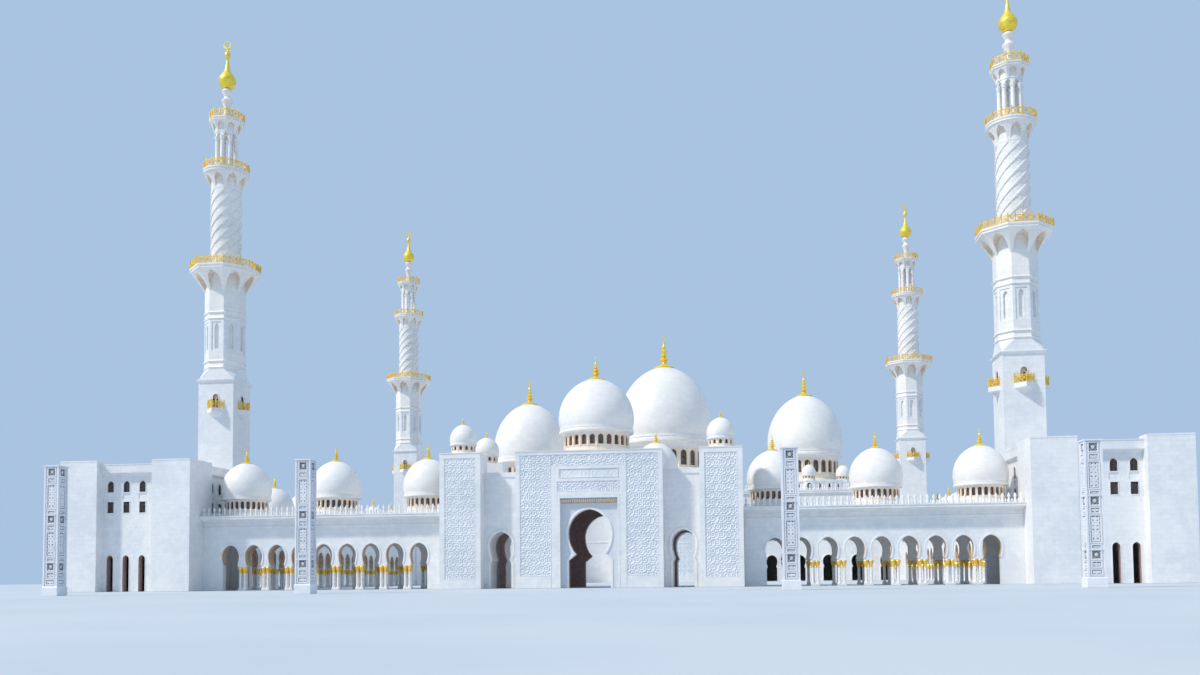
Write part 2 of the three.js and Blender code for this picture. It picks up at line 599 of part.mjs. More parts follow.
// The prayer hall's walls, with doors in front and tall arched windows all round
function hallWalls() {
  const { half, front, back, top, wall } = HALL;
  const bays = row(HALL_BAYS.first, HALL_BAYS.pitch, HALL_BAYS.count);
  const both = [...bays.map((x) => -x).reverse(), ...bays];
  const doors = [...both, 0].sort((a, b) => a - b);
  const frontFace = arcade(-half, half, top, DOOR_ARCH, doors, COARSE);
  const through = (y) => both
    .map((x) => wallAlongX(archedWindow(x, HALL_WINDOW), y - BEYOND, y + wall + BEYOND));
  piece('hall_front_wall', cut(wallAlongX(frontFace, front, front + wall), ...through(front)), MARBLE);
  const backFace = wallAlongX(rectangle(-half, 0, half, top), back - wall, back);
  piece('hall_back_wall', cut(backFace, ...through(back - wall)), MARBLE);
  const sideFace = rectangle(front + wall + GAP, 0, back - wall - GAP, top);
  const sideHeads = row(HALL_SIDE_BAYS.first, HALL_BAYS.pitch, HALL_SIDE_BAYS.count)
    .map((y) => wallAlongY(archedWindow(y, HALL_WINDOW), half - wall - BEYOND, half + BEYOND));
  pair('hall_side_wall', cut(wallAlongY(sideFace, half - wall, half), ...sideHeads), MARBLE);
}

// The roof of the prayer hall with the round tiers that carry the three domes
function hallRoof() {
  const { half, front, back, wall, roofLow, roofHigh } = HALL;
  const plan = rectangle(-half + wall + GAP, front + wall + GAP, half - wall - GAP, back - wall - GAP);
  const tier = (x, radius, top) => upright(ring(radius, TIER.sides, x, HALL_MIDDLE), roofHigh - SINK, top);
  const opening = (dome, top) => upright(
    ring(dome.drum - dome.wall, dome.sides, dome.x, HALL_MIDDLE), roofLow - BEYOND, top + BEYOND);
  const cap = roughDome(SMALL_DOME, SMALL_DOME.spike, SMALL_DOME.sides);
  const smallDomes = [-SIDE_DOME.x, SIDE_DOME.x].flatMap((x) => ring(SMALL_DOMES.ring, SMALL_DOMES.count)
    .map(([u, v]) => cap.clone().translate(x + u, HALL_MIDDLE + v, TIER.sideTop)));
  const roof = join(
    upright(plan, roofLow, roofHigh), tier(0, TIER.main, TIER.mainTop),
    tier(-SIDE_DOME.x, TIER.side, TIER.sideTop), tier(SIDE_DOME.x, TIER.side, TIER.sideTop), ...smallDomes,
  );
  const left = { ...SIDE_DOME, x: -SIDE_DOME.x };
  piece('hall_roof', cut(
    roof, opening(MAIN_DOME, TIER.mainTop), opening(SIDE_DOME, TIER.sideTop), opening(left, TIER.sideTop),
  ), MARBLE);
}

function hallDomes() {
  piece('main_dome', hollowDome(MAIN_DOME), MARBLE, MAIN_DOME.x, HALL_MIDDLE);
  piece('main_dome_finial', finial(MAIN_DOME), GOLD, MAIN_DOME.x, HALL_MIDDLE);
  const shell = hollowDome(SIDE_DOME);
  const spire = finial(SIDE_DOME);
  for (const [side, x] of [['right', SIDE_DOME.x], ['left', -SIDE_DOME.x]]) {
    piece(`side_dome_${side}`, shell, MARBLE, x, HALL_MIDDLE);
    piece(`side_dome_finial_${side}`, spire, GOLD, x, HALL_MIDDLE);
  }
}

// The domed porch of the prayer hall on the axis, like the gate but taller
function foyer() {
  const top = GATE.top + FOYER.raise;
  const back = HALL.front - GAP;
  const { front } = FOYER;
  const { half, wall, sideWall } = GATE;
  const sides = upright([
    [-half, front + wall - SINK], [-half + sideWall, front + wall - SINK], [-half + sideWall, back],
    [-half, back],
  ], 0, top);
  const roofLow = GATE_ROOF.low + FOYER.raise;
  const roofHigh = GATE_ROOF.high + FOYER.raise;
  const roof = upright(rectangle(-half + SINK, front + SINK, half - SINK, back), roofLow, roofHigh,
    [ring(GATE_ROOF.hole, GATE_DOME.sides, 0, FOYER.domeY)]);
  piece('foyer_porch', join(
    portalWall(front, front + PORTAL.depth, front + PORTAL.depth, front + wall, top), sides,
    mirrored(sides), roof,
  ), MARBLE);
  const lift = (geometry) => geometry.translate(0, 0, FOYER.raise);
  piece('foyer_dome', lift(hollowDome(GATE_DOME)), MARBLE, 0, FOYER.domeY);
  piece('foyer_finial', lift(finial(GATE_DOME)), GOLD, 0, FOYER.domeY);
}

// A square shaft on a low plinth, with a groove between its two carved panels
function lightTowers() {
  const { half, top, plinthOut, plinthTop, groove, grooveDeep } = LIGHT;
  const slope = 0.1;
  const shaft = turned([
    [0, 0], [half + plinthOut, 0], [half + plinthOut, plinthTop], [half, plinthTop + slope],
    [half, groove - 2 * slope], [half - grooveDeep, groove - slope], [half - grooveDeep, groove + slope],
    [half, groove + 2 * slope], [half, top], [0, top],
  ].map(([r, z]) => [r * Math.SQRT2, z]), 4, Math.PI / 4);
  for (const place of ['inner', 'outer']) {
    piece(`light_tower_${place}_right`, shaft, CARVED, LIGHT[place], LIGHT.y);
    piece(`light_tower_${place}_left`, shaft, CARVED, -LIGHT[place], LIGHT.y);
  }
}

gate();
gateSides();
frontGalleries();
cornerBlocks();
sideRanges();
minarets();
hallWalls();
hallRoof();
hallDomes();
foyer();
lightTowers();

export default group;
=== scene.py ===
"""Looks of a great domed mosque, a 1:10 scale model in white marble, carved relief and gold leaf.

Building sizes are metres of the real building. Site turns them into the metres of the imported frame.
X runs along the entrance front, Y from the front to the prayer hall, Z up. X = 0 is the axis through
the entrance gate and the main dome, and Y = 0 is the line of the two front minarets.
"""

import json
import logging
import math
from collections.abc import Callable, Iterable, Sequence
from dataclasses import dataclass, field, fields, replace
from enum import Enum

import bmesh
import bpy
import numpy as np
from mathutils import Euler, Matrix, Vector

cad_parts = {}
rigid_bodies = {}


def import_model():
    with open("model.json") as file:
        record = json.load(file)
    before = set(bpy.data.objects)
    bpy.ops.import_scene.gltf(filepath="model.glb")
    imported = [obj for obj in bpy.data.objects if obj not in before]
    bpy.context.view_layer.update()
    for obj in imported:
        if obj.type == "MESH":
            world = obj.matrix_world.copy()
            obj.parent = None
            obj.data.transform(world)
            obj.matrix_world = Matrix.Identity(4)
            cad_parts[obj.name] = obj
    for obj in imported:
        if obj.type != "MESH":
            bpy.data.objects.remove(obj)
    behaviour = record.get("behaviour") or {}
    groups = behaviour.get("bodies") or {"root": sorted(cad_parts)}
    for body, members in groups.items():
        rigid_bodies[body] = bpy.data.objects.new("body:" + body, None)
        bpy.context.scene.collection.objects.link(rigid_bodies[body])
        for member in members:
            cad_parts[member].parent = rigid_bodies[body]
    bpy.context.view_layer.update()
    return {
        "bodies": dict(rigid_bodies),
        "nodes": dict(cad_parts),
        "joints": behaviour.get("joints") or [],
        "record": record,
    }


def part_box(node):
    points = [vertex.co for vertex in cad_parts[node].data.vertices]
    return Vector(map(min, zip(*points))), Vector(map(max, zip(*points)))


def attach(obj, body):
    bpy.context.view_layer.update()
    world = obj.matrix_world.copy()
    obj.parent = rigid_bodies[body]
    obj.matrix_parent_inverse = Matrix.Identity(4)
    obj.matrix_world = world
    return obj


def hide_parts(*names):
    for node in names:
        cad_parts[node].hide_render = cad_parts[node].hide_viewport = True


LOG = logging.getLogger("mosque")

Array = np.ndarray
Socket = bpy.types.NodeSocket
Pair = tuple[float, float]
Triple = tuple[float, float, float]
Colour = Triple
Profile = Sequence[Pair]
Pattern = Callable[[Array, Array], Array]

MINARET_X = 73.08
MINARET_REAR = 114.34
SINK = 0.05
SIDES = (("right", 1.0), ("left", -1.0))
FULL_TURN = 2 * math.pi
GATE_TOP = 22.64
GATE_DOME_Y = -8.56
PORCH_DOME_Y = 130.0
PORCH_RISE = 6.23
HALL_DOME_Y = 172.5
SIDE_DOME_X = 47.53
GALLERY_PITCH = 4.28
ROOF_SLAB = (12.25, 12.82)
LEAF_PITCH = 0.96
NECK = 0.955
SHARP_EDGE = math.radians(32)
PHOTO_WIDTH = 1200


def angles(count: int) -> Array:
    """Equal steps round the full turn, from zero."""
    return FULL_TURN * np.arange(count) / count


def at(plan: Array, z: float) -> Array:
    """Plan points at a height."""
    return np.column_stack([plan, np.full(len(plan), z)])


@dataclass(frozen=True)
class Site:
    """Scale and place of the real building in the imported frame."""

    metre: float
    middle_x: float
    line_y: float

    @classmethod
    def from_frame(cls) -> "Site":
        """Reads the scale from the distance of the two front minarets.

        Returns:
            The site, with the middle of the two minarets as the building's X = Y = 0.
        """
        places = []
        for side, _ in SIDES:
            low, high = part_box(f"minaret_front_{side}")
            places.append((low + high) / 2)
        right, left = places
        return cls((right.x - left.x) / (2 * MINARET_X), (right.x + left.x) / 2, (right.y + left.y) / 2)

    def place(self, points: Array) -> Array:
        """Turns building metres into frame metres."""
        return points * self.metre + np.array([self.middle_x, self.line_y, 0.0])


@dataclass
class Shape:
    """Closed solids as whole arrays.

    Attributes:
        points: Corner points, in building metres.
        corners: Point numbers of all faces, one face after the other.
        sizes: Number of corners of each face.
        skins: Finish number of each face.
        local: Each point relative to the axis of its own sub-part, for patterns that follow it.
        relief: For each point, 1 on a plain surface down to 0 at the bottom of the carving.
    """

    points: Array
    corners: Array
    sizes: Array
    skins: Array
    local: Array
    relief: Array

    @classmethod
    def of(cls, points: Array, corners: Array, sizes: Array, skin: int,
           relief: Array | None = None) -> "Shape":
        """Makes a shape in one finish, whose local points are its own points.

        Args:
            points: Corner points (n x 3).
            corners: Point numbers of all faces.
            sizes: Number of corners of each face.
            skin: Finish number of all faces.
            relief: Relief of each point; 1 if it isn't given.

        Returns:
            The shape.
        """
        points = np.asarray(points, float)
        depth = np.ones(len(points)) if relief is None else np.asarray(relief, float)
        return cls(points, np.asarray(corners, np.int64), np.asarray(sizes, np.int64),
                   np.full(len(sizes), skin), points.copy(), depth)

    @classmethod
    def join(cls, parts: Iterable["Shape"]) -> "Shape":
        """Puts several shapes into one, without merging points.

        Args:
            parts: The shapes.

        Returns:
            One shape with their points and faces in order.
        """
        parts = list(parts)
        starts = np.cumsum([0] + [len(part.points) for part in parts[:-1]])
        parts = [replace(part, corners=part.corners + start) for part, start in zip(parts, starts)]
        return cls(*(np.concatenate([getattr(part, item.name) for part in parts]) for item in fields(cls)))

    def __add__(self, other: "Shape") -> "Shape":
        """Joins two shapes."""
        return Shape.join([self, other])

    def with_points(self, points: Array, own: bool = False) -> "Shape":
        """The same faces over other points; with own, the local points follow too."""
        return replace(self, points=points, local=points.copy() if own else self.local)

    def skinned(self, skin: int) -> "Shape":
        """The same shape in another finish."""
        return replace(self, skins=np.full_like(self.skins, skin))

    def plane_skinned(self, y: float, skin: int) -> "Shape":
        """The same shape with another finish on all faces that lie in one plane.

        Args:
            y: The plane's constant y.
            skin: Finish number for its faces.

        Returns:
            The shape with changed skins.
        """
        starts = np.cumsum(self.sizes) - self.sizes
        inside = np.logical_and.reduceat(np.abs(self.points[self.corners, 1] - y) < 1e-6, starts)
        return replace(self, skins=np.where(inside, skin, self.skins))

    def moved(self, x: float = 0.0, y: float = 0.0) -> "Shape":
        """Shifts the shape on the ground; the local points stay."""
        return self.with_points(self.points + [x, y, 0.0])

    def turned(self, angle: float, own: bool = False) -> "Shape":
        """Turns the shape about the Z axis, anticlockwise from above; with own, the local points too."""
        c, s = math.cos(angle), math.sin(angle)
        return self.with_points(self.points @ np.array([[c, s, 0], [-s, c, 0], [0, 0, 1.0]]), own)

    def mirrored(self, axis: int = 0) -> "Shape":
        """Swaps right and left, or with axis 1 front and back."""
        flip = np.where(np.arange(3) == axis, -1.0, 1.0)
        return replace(self, points=self.points * flip, local=self.local * flip)

    def repeated(self, offsets: Array) -> "Shape":
        """Copies the shape to each offset, all as whole arrays.

        Args:
            offsets: Offsets (count x 3) in building metres.

        Returns:
            All copies in one shape.
        """
        offsets = np.atleast_2d(np.asarray(offsets, float))
        count = len(offsets)
        points = (self.points[None] + offsets[:, None]).reshape(-1, 3)
        starts = np.repeat(np.arange(count) * len(self.points), len(self.corners))
        return Shape(points, np.tile(self.corners, count) + starts, np.tile(self.sizes, count),
                     np.tile(self.skins, count), np.tile(self.local, (count, 1)), np.tile(self.relief, count))

    def around(self, count: int, own: bool = False) -> "Shape":
        """Copies the shape round the Z axis, at equal angles."""
        return Shape.join(self.turned(FULL_TURN * i / count, own) for i in range(count))

    def bent(self, radius: float) -> "Shape":
        """Bends a wall along X round the Z axis.

        A point at distance x along the wall goes to the angle x / radius, and what stands in front of
        the plane y = 0 goes outside the radius.

        Args:
            radius: Radius of the bent plane y = 0.

        Returns:
            The bent shape, whose local points are its own points.
        """
        angle = self.points[:, 0] / radius
        reach = radius - self.points[:, 1]
        points = np.stack([reach * np.sin(angle), -reach * np.cos(angle), self.points[:, 2]], 1)
        return self.with_points(points, True)


def grid(surface: Array, wrap_u: bool = False, wrap_v: bool = False, caps: bool = False,
         skin: int = 0, relief: Array | None = None) -> Shape:
    """Faces over a grid of points.

    Args:
        surface: Points (u, v, 3).
        wrap_u: Joins the last row to the first.
        wrap_v: Joins the last column to the first.
        caps: Closes the first and the last row with one face each.
        skin: Finish number.
        relief: One value for each grid point.

    Returns:
        The shape of all four-sided faces, and the caps.
    """
    rows, columns = surface.shape[:2]
    index = np.arange(rows * columns).reshape(rows, columns)
    first, last = index[0], index[-1]
    if wrap_u:
        index = np.vstack([index, index[:1]])
    if wrap_v:
        index = np.hstack([index, index[:, :1]])
    quads = np.stack([index[:-1, :-1], index[1:, :-1], index[1:, 1:], index[:-1, 1:]], -1).reshape(-1, 4)
    corners, sizes = [quads.ravel()], [np.full(len(quads), 4)]
    if caps:
        corners += [first, last[::-1]]
        sizes.append(np.array([columns, columns]))
    return Shape.of(surface.reshape(-1, 3), np.concatenate(corners), np.concatenate(sizes), skin,
                    None if relief is None else relief.ravel())


def loft(loops: Array, skin: int = 0) -> Shape:
    """A solid through a row of closed loops (count, points, 3), closed by its first and last loop."""
    return grid(np.asarray(loops, float), wrap_v=True, caps=True, skin=skin)


def stepped(levels: Sequence[Sequence[float]], skin: int = 0) -> Shape:
    """A solid through rectangles, each given by its half width, its front and back y and its z."""
    return loft(np.array([[(-wide, front, z), (wide, front, z), (wide, back, z), (-wide, back, z)]
                          for wide, front, back, z in levels]), skin)


def block(x: Pair, y: Pair, z: Pair, skin: int = 0) -> Shape:
    """A plain box between two X, two Y and two Z values."""
    plan = np.array([[x[0], y[0]], [x[1], y[0]], [x[1], y[1]], [x[0], y[1]]])
    return upright(plan, z[0], z[1], skin)


def upright(plan: Array, low: float, high: float, skin: int = 0) -> Shape:
    """A plan outline (n x 2) carried up from low to high."""
    return loft(np.stack([at(plan, low), at(plan, high)]), skin)


def lathe(profile: Profile, sides: int, phase: float = 0.0, skin: int = 0) -> Shape:
    """A profile of (radius, z) turned about the Z axis; it starts and ends on the axis.

    Args:
        profile: Radius and height of each ring, the first and last with radius 0.
        sides: Number of points round each ring.
        phase: Angle of the first point.
        skin: Finish number.

    Returns:
        A solid closed by one fan of triangles at each pole.
    """
    rings = np.asarray(profile, float)
    turn = phase + angles(sides)
    inner = rings[1:-1]
    surface = np.stack([inner[:, :1] * np.cos(turn), inner[:, :1] * np.sin(turn),
                        np.repeat(inner[:, 1:], sides, 1)], -1)
    body = grid(surface, wrap_v=True, skin=skin)
    count = len(body.points)
    around = np.arange(sides)
    following = np.roll(around, -1)
    top = (len(inner) - 1) * sides
    fans = np.concatenate([
        np.stack([np.full(sides, count), around, following], 1),
        np.stack([np.full(sides, count + 1), top + following, top + around], 1),
    ]).ravel()
    poles = np.array([[0, 0, rings[0, 1]], [0, 0, rings[-1, 1]]])
    return Shape.of(np.vstack([body.points, poles]), np.concatenate([body.corners, fans]),
                    np.concatenate([body.sizes, np.full(2 * sides, 3)]), skin)


def facets(profile: Profile) -> Shape:
    """A turned solid with eight flat sides; the radii are to the middle of a side."""
    wide = 1 / math.cos(math.pi / 8)
    return lathe([(radius * wide, z) for radius, z in profile], 8, math.pi / 8)


def around_rectangle(x: Pair, y: Pair, section: Profile,
                     skin: int = 0) -> Shape:
    """A moulding with mitred corners round a rectangle.

    Args:
        x: The rectangle's two X values.
        y: The rectangle's two Y values.
        section: Closed section of (how far it stands out, z).
        skin: Finish number.

    Returns:
        The moulding, whose corner u stands at the rectangle's corner moved out by each section point.
    """
    out, z = np.asarray(section, float).T
    corners = [(x[0] - out, y[0] - out), (x[1] + out, y[0] - out), (x[1] + out, y[1] + out),
               (x[0] - out, y[1] + out)]
    surface = np.stack([np.stack([across, along, z], -1) for across, along in corners])
    return grid(surface, wrap_u=True, wrap_v=True, skin=skin)


def run_along_x(x: Pair, y: float, section: Profile,
                skin: int = 0) -> Shape:
    """A straight moulding along X on a wall that faces the front; the section is (stand-out, z)."""
    out, z = np.asarray(section, float).T
    return loft(np.stack([np.stack([np.full_like(z, end), y - out, z], -1) for end in x]), skin)


def bars(starts: Array, ends: Array, wide: float, high: float | None = None) -> Shape:
    """Straight bars from each start to each end, all as whole arrays.

    A bar's section stands square to it: one side lies level, the other is square to both.

    Args:
        starts: Points (n x 3) where the bars start.
        ends: Points where they end.
        wide: Level width of a bar.
        high: Its other width; the same if it isn't given.

    Returns:
        All bars in one shape.
    """
    starts, ends = np.atleast_2d(starts).astype(float), np.atleast_2d(ends).astype(float)
    along = ends - starts
    along /= np.linalg.norm(along, axis=1, keepdims=True)
    level = np.cross(along, [0.0, 0.0, 1.0])
    size = np.linalg.norm(level, axis=1, keepdims=True)
    level = np.where(size > 1e-6, level / np.maximum(size, 1e-9), [1.0, 0.0, 0.0])
    rise = np.cross(level, along)
    a, b = wide / 2, (wide if high is None else high) / 2
    ring = [-a * level - b * rise, a * level - b * rise, a * level + b * rise, -a * level + b * rise]
    points = np.stack([starts + step for step in ring] + [ends + step for step in ring], 1)
    faces = np.array([[0, 1, 2, 3], [7, 6, 5, 4], [0, 4, 5, 1], [1, 5, 6, 2], [2, 6, 7, 3], [3, 7, 4, 0]])
    count = len(points)
    corners = (faces.ravel()[None] + 8 * np.arange(count)[:, None]).ravel()
    return Shape.of(points.reshape(-1, 3), corners, np.full(6 * count, 4), 0)


@dataclass(frozen=True)
class Arch:
    """A horseshoe arch with a slightly pointed head.

    The jamb, neck and bulge are half widths. The jambs end at the impost; the curve starts at the
    neck, is widest at the bulge and closes at the apex.
    """

    jamb: float
    impost: float
    neck: float
    neck_z: float
    bulge: float
    bulge_z: float
    apex_z: float

    def curve(self) -> Array:
        """Points (n x 2) of x and z from the left neck over the apex to the right neck."""
        share, z = bulging(self.neck / self.bulge, (self.neck_z, self.bulge_z, self.apex_z), 4, 9)
        x = self.bulge * share
        x[-1] = 0.0
        right = np.stack([x, z], 1)
        left = (right * [-1, 1])[:-1]
        return np.concatenate([left, right[::-1]])

    def passage(self) -> Array:
        """The whole opening from the foot of its left jamb to the foot of its right jamb."""
        left = np.array([[-self.jamb, 0.0], [-self.jamb, self.impost]])
        return np.concatenate([left, self.curve(), (left * [-1, 1])[::-1]])


def bulging(neck: float, levels: Triple, low_steps: int, high_steps: int) -> tuple[Array, Array]:
    """A curve that widens from its neck along an ellipse and closes in a slightly pointed quarter.

    Args:
        neck: Reach at the foot, as a share of the widest reach.
        levels: Heights of the foot, of the widest reach and of the top.
        low_steps: Points below the widest level.
        high_steps: Steps above it.

    Returns:
        Share of the widest reach, and height, of each point.
    """
    foot, widest, top = levels
    drop = (widest - foot) / math.sqrt(1 - neck**2)
    below = -math.asin((widest - foot) / drop) * (1 - np.arange(low_steps) / low_steps)
    above = np.linspace(0, math.pi / 2, high_steps + 1)
    z = np.concatenate([drop * np.sin(below), pointed(above, top - widest)])
    return np.concatenate([np.cos(below), np.cos(above)]), widest + z


def pointed(angle: Array, rise: float, point: float = 0.14) -> Array:
    """Height along a slightly pointed quarter curve, for angles from 0 to a right angle."""
    return rise * ((1 - point) * np.sin(angle) + point * angle / (math.pi / 2))


def window_loop(half: float, low: float, spring: float, top: float, steps: int = 4) -> Array:
    """A window's closed outline: two lower corners, then a pointed head from right to left.

    Args:
        half: Half of its width.
        low: Its sill.
        spring: Foot of the pointed head.
        top: Its top.
        steps: Steps of each half of the head.

    Returns:
        Points (n x 2) of x and z.
    """
    angle = np.linspace(0, math.pi / 2, steps + 1)
    right = np.stack([half * np.cos(angle), spring + pointed(angle, top - spring, 0.3)], 1)
    right[-1, 0] = 0.0
    left = (right * [-1, 1])[:-1][::-1]
    return np.concatenate([[[-half, low], [half, low]], right, left])


def to_rectangle(points: Array, centre: Pair, half: float, low: float, high: float) -> Array:
    """Throws each point of an outline from the centre onto a rectangle round it.

    The point nearest to the direction of each corner goes into that corner, so none is cut off.

    Args:
        points: The outline (n x 2).
        centre: Where the rays start.
        half: Half of the rectangle's width.
        low: Its lower edge.
        high: Its upper edge.

    Returns:
        A point on the rectangle for each point of the outline.
    """
    ray = points - centre
    length = np.hypot(*ray.T)
    ray = ray / np.maximum(length, 1e-9)[:, None]
    with np.errstate(divide="ignore"):
        across = half / np.abs(ray[:, 0])
        up = np.where(ray[:, 1] > 0, high - centre[1], centre[1] - low) / np.abs(ray[:, 1])
    out = np.array(centre) + ray * np.minimum(across, up)[:, None]
    for corner in ((-half, low), (half, low), (half, high), (-half, high)):
        aim = np.array(corner) - centre
        aim = aim / np.hypot(*aim)
        nearest = int(np.argmax(ray @ aim))
        if ray[nearest] @ aim > 0.9:
            out[nearest] = corner
    return out


def between(inner: Array, outer: Array, front: float, back: float, closed: bool, skin: int = 0) -> Shape:
    """A wall between an inner and an outer outline, from the front to the back plane.

    Args:
        inner: Outline of the opening (n x 2), x and z.
        outer: Outer outline with as many points.
        front: Y of the front plane.
        back: Y of the back plane.
        closed: Whether the outlines close.
        skin: Finish number.

    Returns:
        The wall. Its faces come in fours: front, outer side, back and reveal.
    """
    rings = [(inner, front), (outer, front), (outer, back), (inner, back)]
    surface = np.stack([np.stack([line[:, 0], np.full(len(line), y), line[:, 1]], -1)
                        for line, y in rings], 1)
    return grid(surface, wrap_u=closed, wrap_v=True, caps=not closed, skin=skin)


def window_wall(loop: Array, half: float, low: float, high: float, front: float, back: float,
                skin: int = 0) -> Shape:
    """A piece of wall with one window in its middle.

    Args:
        loop: The window's closed outline.
        half: Half of the wall's width.
        low: Foot of the wall.
        high: Its top.
        front: Y of the front face.
        back: Y of the back face.
        skin: Finish number; the reveal takes the next one.

    Returns:
        The wall round the window.
    """
    middle = (0.0, float(loop[:, 1].min() + loop[:, 1].max()) / 2)
    wall = between(loop, to_rectangle(loop, middle, half, low, high), front, back, True, skin)
    wall.skins[3::4] = skin + 1
    return wall


def arch_wall(arch: Arch, half: float, high: float, front: float, back: float, foot: bool = True,
              skin: int = 0) -> Shape:
    """A bay of wall with an arch that is open below.

    Args:
        arch: The opening.
        half: Half of the bay's width.
        high: Top of the wall.
        front: Y of the front face.
        back: Y of the back face.
        foot: Whether the wall goes down to the ground; otherwise it ends at the arch's neck.
        skin: Finish number; the reveal takes the next one.

    Returns:
        The wall round the opening.
    """
    inner = arch.passage() if foot else arch.curve()
    outer = to_rectangle(inner, (0.0, arch.bulge_z), half, arch.neck_z, high)
    if foot:
        sides = np.array([[half, 0.0], [half, arch.impost]])
        outer[:2] = sides * [-1, 1]
        outer[-2:] = sides[::-1]
        outer[2] = [-half, arch.neck_z]
        outer[-3] = [half, arch.neck_z]
    else:
        outer[0] = [-half, arch.neck_z]
        outer[-1] = [half, arch.neck_z]
    wall = between(inner, outer, front, back, False, skin)
    wall.skins[3:-2:4] = skin + 1
    return wall


def band_round(line: Array, section: Profile, y: float, closed: bool = False,
               skin: int = 0) -> Shape:
    """A moulding that follows an outline on a wall.

    Args:
        line: The outline (n x 2) of x and z, clockwise seen from the front, so that out is outside.
        section: Closed section of (distance outside the outline, stand-out from the wall).
        y: The wall's face.
        closed: Whether the outline closes.
        skin: Finish number.

    Returns:
        The section carried along the outline, with mitred corners.
    """
    step = np.roll(line, -1, 0) - line
    if not closed:
        step[-1] = step[-2]
    step = step / np.maximum(np.hypot(*step.T), 1e-9)[:, None]
    after = np.stack([-step[:, 1], step[:, 0]], 1)
    before = np.roll(after, 1, 0)
    if not closed:
        before[0] = after[0]
    bend = np.maximum(1 + (before * after).sum(1), 0.4)
    normal = (before + after) / bend[:, None]
    out, stand = np.asarray(section, float).T
    place = line[:, None] + out[None, :, None] * normal[:, None]
    depth = np.broadcast_to(y - stand, place.shape[:2])
    surface = np.stack([place[..., 0], depth, place[..., 1]], -1)
    return grid(surface, wrap_u=closed, wrap_v=True, caps=not closed, skin=skin)


def carved(x: Pair, z: Pair, front: float, back: float, step: float,
           pattern: Pattern, depth: float) -> Shape:
    """A block whose front is a height field.

    The front is a grid of points; each lies behind the front plane by depth times one minus the
    pattern's value there. A last ring of points at the back plane closes the sides and the back.

    Args:
        x: Left and right edge.
        z: Lower and upper edge.
        front: Y of the uncarved front.
        back: Y of the back.
        step: Width of a grid cell.
        pattern: Height from 0 to 1 for arrays of x and z.
        depth: How deep the carving goes.

    Returns:
        The closed block with its relief values.
    """
    across = np.linspace(*x, max(2, round((x[1] - x[0]) / step) + 1))
    up = np.linspace(*z, max(2, round((z[1] - z[0]) / step) + 1))
    wide, tall = np.meshgrid(across, up, indexing="ij")
    height = np.clip(pattern(wide, tall), 0, 1)
    height[0] = height[-1] = 1.0
    height[:, 0] = height[:, -1] = 1.0
    face = np.stack([wide, front + depth * (1 - height), tall], -1)
    whole = np.pad(face, ((1, 1), (1, 1), (0, 0)), mode="edge")
    whole[[0, -1], :, 1] = back
    whole[:, [0, -1], 1] = back
    shape = grid(whole, relief=np.pad(height, 1, mode="edge"))
    index = np.arange(whole.shape[0] * whole.shape[1]).reshape(whole.shape[:2])
    rim = np.concatenate([index[:, 0], index[-1, 1:], index[-2::-1, -1], index[0, -2:0:-1]])
    return replace(shape, corners=np.concatenate([shape.corners, rim]),
                   sizes=np.append(shape.sizes, len(rim)), skins=np.append(shape.skins, 0))


class Layout(Enum):
    """How the joints between marble blocks run over a surface."""

    WALLS = "along the wall and up"
    ROUND = "round the sub-part's own axis and up"
    NONE = "no joints"


class Slot(Enum):
    """The record's material slots."""

    WHITE = "white_marble"
    CARVED = "carved_marble"
    GOLD = "gold_leaf"
    GLASS = "window_glass"


